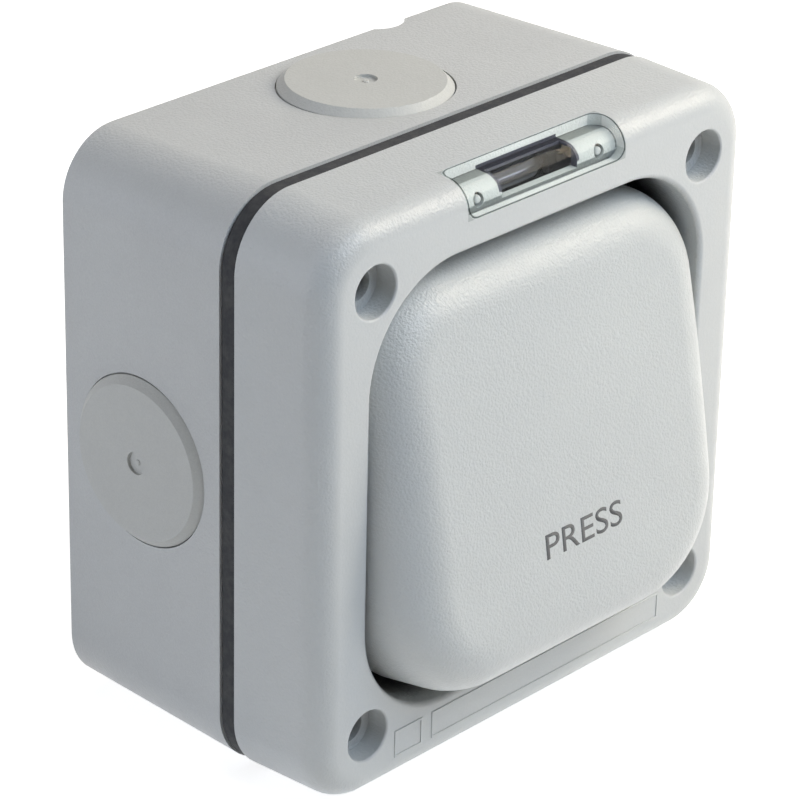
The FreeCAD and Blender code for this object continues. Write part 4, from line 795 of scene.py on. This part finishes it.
@dataclass
class Cover:
    """Front cover with its gasket and the bare frames on its lower band."""

    body: str = "housing"
    front: float = 49.15
    rise: float = 0.13
    root: float = 0.05
    edge: float = 0.03
    line: float = 0.3
    frames: tuple[tuple[str, float, float], ...] = (
        ("small_frame", -27.6, -22.1), ("long_frame", -20.2, 28.1))
    frame_low: float = -38.5
    frame_high: float = -34.35
    rib_front: float = 47.75
    rib_reach: float = 41.7
    rib_sink: float = 0.05
    rib_seek: float = 0.01

    def build(self) -> None:
        """Dress the CAD pieces, lay the rib ends in and add the frames."""
        dress_node("gasket", Finish.GASKET)
        self.trim_ribs()
        for name, left, right in self.frames:
            self.add_frame(name, left, right)

    def trim_ribs(self) -> None:
        """Copy the cover and sink the ends of its screw ribs, which stand 0.08 mm through the rounded edge."""
        let_go()
        cover = bpy.data.objects.new("trimmed_cover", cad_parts["front_cover"].data.copy())
        bpy.context.scene.collection.objects.link(cover)
        choose_all(cover)
        bpy.ops.mesh.remove_doubles(threshold=WELD_REACH * MM)
        bpy.ops.mesh.customdata_custom_splitnormals_clear()
        bpy.ops.object.mode_set(mode="OBJECT")
        for axis in (0, 2):
            for side in Side:
                self.sink_corners(cover, axis, side.value)
        smooth(cover, SHARP_ANGLE)
        finish_modifier(cover, "WEIGHTED_NORMAL", weight=FACE_WEIGHT, keep_sharp=True)
        dress(cover, Finish.COVER, self.body)
        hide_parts("front_cover")
        LOG.info("cover")

    def sink_corners(self, cover: bpy.types.Object, axis: int, side: int) -> None:
        """Move the rib corners on one side of the cover back into its rounded edge.

        Args:
            cover: The copied cover.
            axis: The axis that the ribs point along, 0 for X and 2 for Z.
            side: -1 or 1, the end of that axis.
        """
        take(cover)
        mesh = cover.data
        for face in mesh.polygons:
            face.select = False
        for edge in mesh.edges:
            edge.select = False
        for vertex in mesh.vertices:
            ahead = abs(vertex.co.y + self.rib_front * MM) < self.rib_seek * MM
            vertex.select = ahead and abs(vertex.co[axis] - side * self.rib_reach * MM) < self.rib_seek * MM
        LOG.info("rib corners sunk: %s", sum(vertex.select for vertex in mesh.vertices))
        shift = [0.0, self.rib_sink * MM, 0.0]
        shift[axis] = -side * self.rib_sink * MM
        bpy.context.tool_settings.mesh_select_mode = (True, False, False)
        bpy.ops.object.mode_set(mode="EDIT")
        bpy.ops.transform.translate(value=shift)
        bpy.ops.object.mode_set(mode="OBJECT")

    def add_frame(self, name: str, left: float, right: float) -> None:
        """Raise a thin rectangular line on the front.

        Args:
            name: The piece's name.
            left: Its left side in millimetres.
            right: Its right side in millimetres.
        """
        wide = right - left
        high = self.frame_high - self.frame_low
        let_go()
        middle = ((left + right) / 2 * MM, 0, (self.frame_low + high / 2) * MM)
        bpy.ops.mesh.primitive_plane_add(size=1, location=middle, rotation=(math.pi / 2, 0, 0))
        piece = name_piece(name)
        piece.scale = (wide * MM, high * MM, 1)
        settle(piece, Matrix.Translation((0, -(self.front - self.root) * MM, 0)))
        choose(piece, lambda centre, normal: True)
        bpy.ops.mesh.inset(thickness=self.line * MM, depth=0)
        bpy.ops.mesh.delete(type="FACE")
        bpy.ops.object.mode_set(mode="OBJECT")
        finish_modifier(piece, "SOLIDIFY", thickness=(self.rise + self.root) * MM, offset=1)
        finish_modifier(piece, "BEVEL", width=self.edge * MM, segments=2, limit_method="ANGLE",
                        angle_limit=math.radians(40))
        choose_all(piece)
        bpy.ops.mesh.normals_make_consistent(inside=False)
        bpy.ops.object.mode_set(mode="OBJECT")
        smooth(piece)
        dress(piece, Finish.COVER, self.body)
        LOG.info("frame %s", name)


@dataclass
class Indicator:
    """Clear lens with the small lamp, its reflector, cradle and series resistor."""

    body: str = "housing"
    plane: float = 42.25
    height: float = 37.9
    radius: float = 1.55
    half: float = 5.7
    glass: float = 0.22
    rod: float = 0.4
    lead: float = 0.18
    rod_apart: float = 0.62
    peg_across: float = 12.0
    peg_height: float = 39.0
    peg_back: float = 46.5
    peg_core: float = 0.58

    def build(self) -> None:
        """Dress the CAD pieces and model the lamp."""
        dress_node("indicator_lens", Finish.LENS)
        dress_node("lamp_reflector", Finish.REFLECTOR)
        dress_node("lamp_holder", Finish.MODULE)
        dress_node("lamp_resistor", Finish.RESISTOR)
        self.add_bulb()
        self.add_rods()
        self.add_leads()
        self.add_pegs()

    def add_pegs(self) -> None:
        """Fill the lens's two pegs with their pale heat-staked cores."""
        core = self.peg_core
        for side in Side:
            foot = (side.value * self.peg_across * MM, -self.peg_back * MM, self.peg_height * MM)
            rings = [(0, 0), (core, 0), (core, 0.7), (core * 0.8, 0.92), (core * 0.3, 1.0), (0, 0.9)]
            peg = ring_stack("lens_peg_" + side.name.lower(), Axis.FRONT, foot, rings, 28)
            smooth(peg, 50)
            dress(peg, Finish.COVER, self.body)
        LOG.info("lens pegs")

    def add_bulb(self) -> None:
        """Blow the glass envelope: a thin tube with a sealed tip and a pinched foot."""
        outer, half = self.radius, self.half
        rings = [(0, -half), (outer * 0.3, -half + 0.08), (outer * 0.5, -half + 0.55),
                 (outer * 0.86, -half + 0.95), (outer, -half + 1.7), (outer, half - 2.4),
                 (outer * 0.93, half - 1.7), (outer * 0.62, half - 1.1), (outer * 0.55, half - 0.2),
                 (outer * 0.4, half), (0, half)]
        bulb = ring_stack("lamp_bulb", Axis.X, self.centre(), rings, 40)
        finish_modifier(bulb, "SUBSURF", levels=1, render_levels=1)
        finish_modifier(bulb, "SOLIDIFY", thickness=self.glass * MM, offset=-1)
        smooth(bulb, 60)
        dress(bulb, Finish.GLASS, self.body)
        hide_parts("neon_lamp")
        LOG.info("lamp bulb")

    def centre(self) -> Point:
        """Middle of the lamp in metres."""
        return (0, -self.plane * MM, self.height * MM)

    def add_rods(self) -> None:
        """Stand the two electrodes side by side in the bulb."""
        for side in Side:
            start = Vector(self.centre()) + Vector((0, 0, side.value * self.rod_apart * MM))
            rings = [(0, -self.half + 2.1), (self.rod, -self.half + 2.2), (self.rod, self.half - 2.6),
                     (self.lead, self.half - 2.5), (self.lead, self.half - 0.6), (0, self.half - 0.55)]
            rod = ring_stack("lamp_rod_" + side.name.lower(), Axis.X, tuple(start), rings, 16)
            smooth(rod, 40)
            dress(rod, Finish.NICKEL if side is Side.LEFT else Finish.REFLECTOR, self.body)
        LOG.info("lamp rods")

    def add_leads(self) -> None:
        """Bend the two leads from the lamp's foot to the resistor and back into the holder."""
        x, y, z = self.half - 0.4, -self.plane, self.height
        apart = self.rod_apart
        upper = [(x, y, z + apart), (x + 1.2, y, z + apart), (x + 2.6, y + 0.1, z + 0.3),
                 (x + 3.6, y, z), (x + 4.7, y, z)]
        lower = [(x, y, z - apart), (x + 1.1, y, z - apart), (x + 1.9, y + 0.4, z - 0.9),
                 (x + 2.3, y + 1.6, z - 1.2), (x + 2.4, y + 3.2, z - 1.2)]
        for name, points in (("lamp_lead_upper", upper), ("lamp_lead_lower", lower)):
            dress(wire(name, points, self.lead), Finish.SPRING, self.body)
        LOG.info("lamp leads")


@dataclass
class PushPaddle:
    """The large tilted paddle, its hinge pin and the word printed on it."""

    body: str = "paddle"
    tilt: float = 10.64
    hinge_ahead: float = 41.5
    hinge_height: float = 23.5
    face_ahead: float = 9.209
    face_fall: float = 1.53
    word: str = "PRESS"
    word_left: float = -6.98
    word_right: float = 8.81
    word_low: float = -38.38
    word_high: float = -34.68
    slab: float = 0.08
    proud: float = 0.012
    weight: float = 0.003

    def build(self) -> None:
        """Dress the CAD pieces and print the word."""
        dress_node("paddle", Finish.PADDLE)
        dress_node("hinge_pin", Finish.SPRING)
        self.print_word()

    def face(self) -> Matrix:
        """The paddle's own frame: X across, Y up along its face, Z out of it."""
        turn = Matrix.Rotation(math.radians(90 - self.tilt), 4, "X")
        return Matrix.Translation((0, -self.hinge_ahead * MM, self.hinge_height * MM)) @ turn

    def print_word(self) -> None:
        """Set the word, make it a thin slab and lay it on the crowned face."""
        let_go()
        bpy.ops.object.text_add()
        text = bpy.context.object
        text.data.body = self.word
        text.data.resolution_u = 6
        text.data.offset = self.weight
        bpy.ops.object.convert(target="MESH")
        piece = name_piece("press_word")
        low = [min(vertex.co[i] for vertex in piece.data.vertices) for i in range(2)]
        high = [max(vertex.co[i] for vertex in piece.data.vertices) for i in range(2)]
        wide = (self.word_right - self.word_left) / (high[0] - low[0]) * MM
        tall = (self.word_high - self.word_low) / (high[1] - low[1]) * MM
        piece.scale = (wide, tall, 1)
        piece.location = (self.word_left * MM - low[0] * wide, self.word_low * MM - low[1] * tall, 0)
        settle(piece)
        choose_all(piece)
        bpy.ops.mesh.remove_doubles(threshold=0.002 * MM)
        bpy.ops.mesh.dissolve_limited(angle_limit=math.radians(1))
        bpy.ops.object.mode_set(mode="OBJECT")
        finish_modifier(piece, "SOLIDIFY", thickness=self.slab * MM, offset=-1)
        middle = Vector((0, (self.word_low + self.word_high) / 2 * MM, 0))
        turn = Matrix.Rotation(math.radians(self.face_fall), 4, "X")
        fall = Matrix.Translation(middle) @ turn @ Matrix.Translation(-middle)
        out = self.face_ahead + self.proud
        settle(piece, self.face() @ Matrix.Translation((0, 0, out * MM)) @ fall)
        dress(piece, Finish.INK, self.body)
        LOG.info("word on the paddle")


@dataclass
class Springs:
    """The paddle's two return springs and the spring under the moving contact."""

    body: str = "housing"
    across: float = 18.0
    height: float = -13.3
    rear: float = 37.2
    front: float = 51.5
    radius: float = 2.9
    gauge: float = 0.4
    turns: float = 6.0
    keep: float = 0.68
    contact_radius: float = 2.6
    contact_gauge: float = 0.3
    contact_turns: float = 5.0
    contact_keep: float = 0.64

    def build(self) -> None:
        """Wind the springs in place of the CAD ones."""
        for side in Side:
            name = side.name.lower() + "_return_spring"
            centre = (side.value * self.across * MM, -self.rear * MM, self.height * MM)
            spring = coil(name.replace("return", "wound"), centre, self.radius, self.gauge,
                          self.front - self.rear, self.turns)
            dress(spring, Finish.SPRING, self.body)
            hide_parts(name)
            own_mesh(spring)
            LOG.info("spring %s", name)
        low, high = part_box("contact_spring")
        centre = ((low.x + high.x) / 2, high.y, (low.z + high.z) / 2)
        spring = coil("contact_wound_spring", centre, self.contact_radius, self.contact_gauge,
                      (high.y - low.y) / MM, self.contact_turns)
        dress(spring, Finish.SPRING, self.body)
        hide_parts("contact_spring")
        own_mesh(spring)
        LOG.info("contact spring")


@dataclass
class Actuator:
    """Plunger with its rubber boot, clamp ring and moving contact."""

    body: str = "plunger"
    height: float = -8.0
    floor: float = 37.2
    foot: float = 9.8
    skin: float = 1.2
    tall: float = 8.4
    keep: float = 0.49

    def build(self) -> None:
        """Dress the CAD pieces and mould the boot."""
        dress_node("plunger", Finish.NYLON)
        dress_node("moving_contact", Finish.BRASS)
        dress_node("boot_ring", Finish.SPRING)
        self.mould_boot()

    def mould_boot(self) -> None:
        """Mould the boot: foot, one soft fold and a collar round the plunger."""
        foot, skin, tall = self.foot, self.skin, self.tall
        rings = [(4.85, 0), (foot, 0), (foot, skin), (8.2, skin), (7.95, skin + 0.9), (7.5, 3.2), (6.9, 4.4),
                 (5.9, 5.6), (5.1, 6.3), (4.75, 6.9), (4.35, tall - 0.25), (4.1, tall), (3.1, tall),
                 (3.1, tall - 1.8),
                 (4.2, 5.9), (5.2, 4.8), (6.2, 3.7), (6.8, 2.6), (7.1, skin + 0.3), (6.6, skin - 0.25),
                 (4.85, skin - 0.25)]
        centre = (0, -self.floor * MM, self.height * MM)
        boot = ring_stack("soft_boot", Axis.FRONT, centre, rings, 56, closed=True)
        smooth(boot, 48)
        dress(boot, Finish.BOOT, "housing")
        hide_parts("plunger_boot")
        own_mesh(boot)
        LOG.info("boot")


@dataclass
class SwitchModule:
    """The sealed switch module behind the well: base, lid, contacts, terminals and screws."""

    plastics: dict[str, Finish] = field(
        default_factory=lambda: {"module_base": Finish.MODULE, "module_lid": Finish.NYLON})
    metals: tuple[str, ...] = (
        "left_contact", "right_contact", "left_terminal", "right_terminal", "earth_terminal")
    screws: tuple[str, ...] = ("terminal_screws", "module_screws", "earth_screw")

    def build(self) -> None:
        """Dress the CAD pieces."""
        for name, finish in self.plastics.items():
            dress_node(name, finish)
        for name in self.metals:
            dress_node(name, Finish.BRASS)
        for name in self.screws:
            dress_node(name, Finish.ZINC)


@dataclass
class Lamp:
    """One soft lamp of the studio."""

    name: str
    azimuth: float
    elevation: float
    distance: float
    size: float
    power: Colour

    def hang(self, target: Vector) -> None:
        """Hang the lamp round a point that it faces."""
        turn, lift = math.radians(self.azimuth), math.radians(self.elevation)
        away = Vector((math.sin(turn) * math.cos(lift), -math.cos(turn) * math.cos(lift), math.sin(lift)))
        light = bpy.data.lights.new(self.name, "AREA")
        light.shape = "SQUARE"
        light.size = self.size
        light.energy = max(self.power)
        light.color = [share / max(self.power) for share in self.power]
        lamp = bpy.data.objects.new(self.name, light)
        lamp.visible_transmission = False
        lamp.location = target + away * self.distance
        lamp.rotation_euler = (-away).to_track_quat("-Z", "Y").to_euler()
        bpy.context.scene.collection.objects.link(lamp)


@dataclass
class Studio:
    """Floor, surroundings, lamps and camera."""

    floor_height: float = -43.1
    floor_size: float = 6.0
    glow: float = 0.78
    ambient: float = 0.0
    middle: Point = (0.0, -0.025, 0.0)
    lamps: list[Lamp] = field(default_factory=lambda: [
        Lamp("right_lamp", 55.0, 37.0, 0.42, 0.2, (1.24, 1.12, 0.93)),
        Lamp("front_lamp", 9.0, 45.0, 0.45, 0.24, (0.78, 0.9, 1.06)),
        Lamp("left_lamp", -115.0, 10.0, 0.6, 0.5, (1.39, 1.48, 1.65)),
        Lamp("top_lamp", 180.0, 75.0, 0.5, 0.4, (0.5, 0.44, 0.38)),
    ])
    eye: Point = (-0.351904, -0.350159, 0.232526)
    right: Point = (0.68764771, -0.7257745, 0.01979894)
    up: Point = (0.30707739, 0.31543996, 0.89788702)
    back: Point = (-0.65790889, -0.61135015, 0.43978051)
    lens: float = 170.31

    def build(self) -> None:
        """Set the stage."""
        self.lay_floor()
        self.surround()
        for lamp in self.lamps:
            lamp.hang(Vector(self.middle))
        self.stand_camera()
        bpy.context.scene.view_settings.view_transform = "Standard"
        LOG.info("studio")

    def lay_floor(self) -> None:
        """Lay a plain white floor that keeps a soft shadow."""
        let_go()
        bpy.ops.mesh.primitive_plane_add(size=self.floor_size, location=(0, 0, self.floor_height * MM))
        floor = name_piece("studio_floor")
        recipe = Recipe("studio_white")
        paper = recipe.noise(40.0, 2.0)
        matt = recipe.surface({
            "Base Color": recipe.blend(paper, paint(250, 250, 250), paint(246, 246, 246)), "Roughness": 0.9})
        glow = recipe.add("ShaderNodeEmission", {"Color": (1, 1, 1, 1), "Strength": self.glow})
        both = recipe.add("ShaderNodeAddShader", {0: matt.outputs[0], 1: glow.outputs[0]})
        path = recipe.add("ShaderNodeLightPath")
        seen = recipe.sum(path.outputs["Is Camera Ray"], path.outputs["Is Glossy Ray"], "MAXIMUM")
        seen = recipe.sum(seen, path.outputs["Is Transmission Ray"], "MAXIMUM")
        mix = recipe.add("ShaderNodeMixShader", {0: seen, 1: matt.outputs[0], 2: both.outputs[0]})
        floor.data.materials.append(recipe.show(mix.outputs[0]))

    def surround(self) -> None:
        """Surround the switch with white that shows, and a dimmer white that lights."""
        world = bpy.data.worlds.new("studio_world")
        bpy.context.scene.world = world
        world.use_nodes = True
        tree = world.node_tree
        tree.nodes.clear()
        path = tree.nodes.new("ShaderNodeLightPath")
        seen = None
        for ray in ("Is Camera Ray", "Is Glossy Ray", "Is Transmission Ray"):
            if seen is None:
                seen = path.outputs[ray]
                continue
            most = tree.nodes.new("ShaderNodeMath")
            most.operation = "MAXIMUM"
            tree.links.new(seen, most.inputs[0])
            tree.links.new(path.outputs[ray], most.inputs[1])
            seen = most.outputs[0]
        level = tree.nodes.new("ShaderNodeMapRange")
        tree.links.new(seen, level.inputs[0])
        level.inputs[3].default_value = self.ambient
        level.inputs[4].default_value = 1.0
        white = tree.nodes.new("ShaderNodeBackground")
        tree.links.new(level.outputs[0], white.inputs["Strength"])
        white.inputs["Color"].default_value = (1, 1, 1, 1)
        output = tree.nodes.new("ShaderNodeOutputWorld")
        tree.links.new(white.outputs[0], output.inputs["Surface"])

    def stand_camera(self) -> None:
        """Stand the camera where the photograph was taken from."""
        camera = bpy.data.cameras.new("camera")
        camera.lens = self.lens
        camera.sensor_width = 36.0
        camera.clip_start = 0.01
        stand = bpy.data.objects.new("camera", camera)
        columns = Matrix((self.right, self.up, self.back)).transposed().to_4x4()
        stand.matrix_world = Matrix.Translation(self.eye) @ columns
        bpy.context.scene.collection.objects.link(stand)
        bpy.context.scene.camera = stand


def main() -> None:
    """Build every sub-assembly in order."""
    logging.basicConfig(level=logging.INFO, format="%(message)s")
    for part in (Studio(), Housing(), Cover(), Indicator(), PushPaddle(), Springs(), Actuator(), SwitchModule()):
        part.build()
    let_go()
    bpy.context.view_layer.update()


if __name__ == "__main__":
    main()
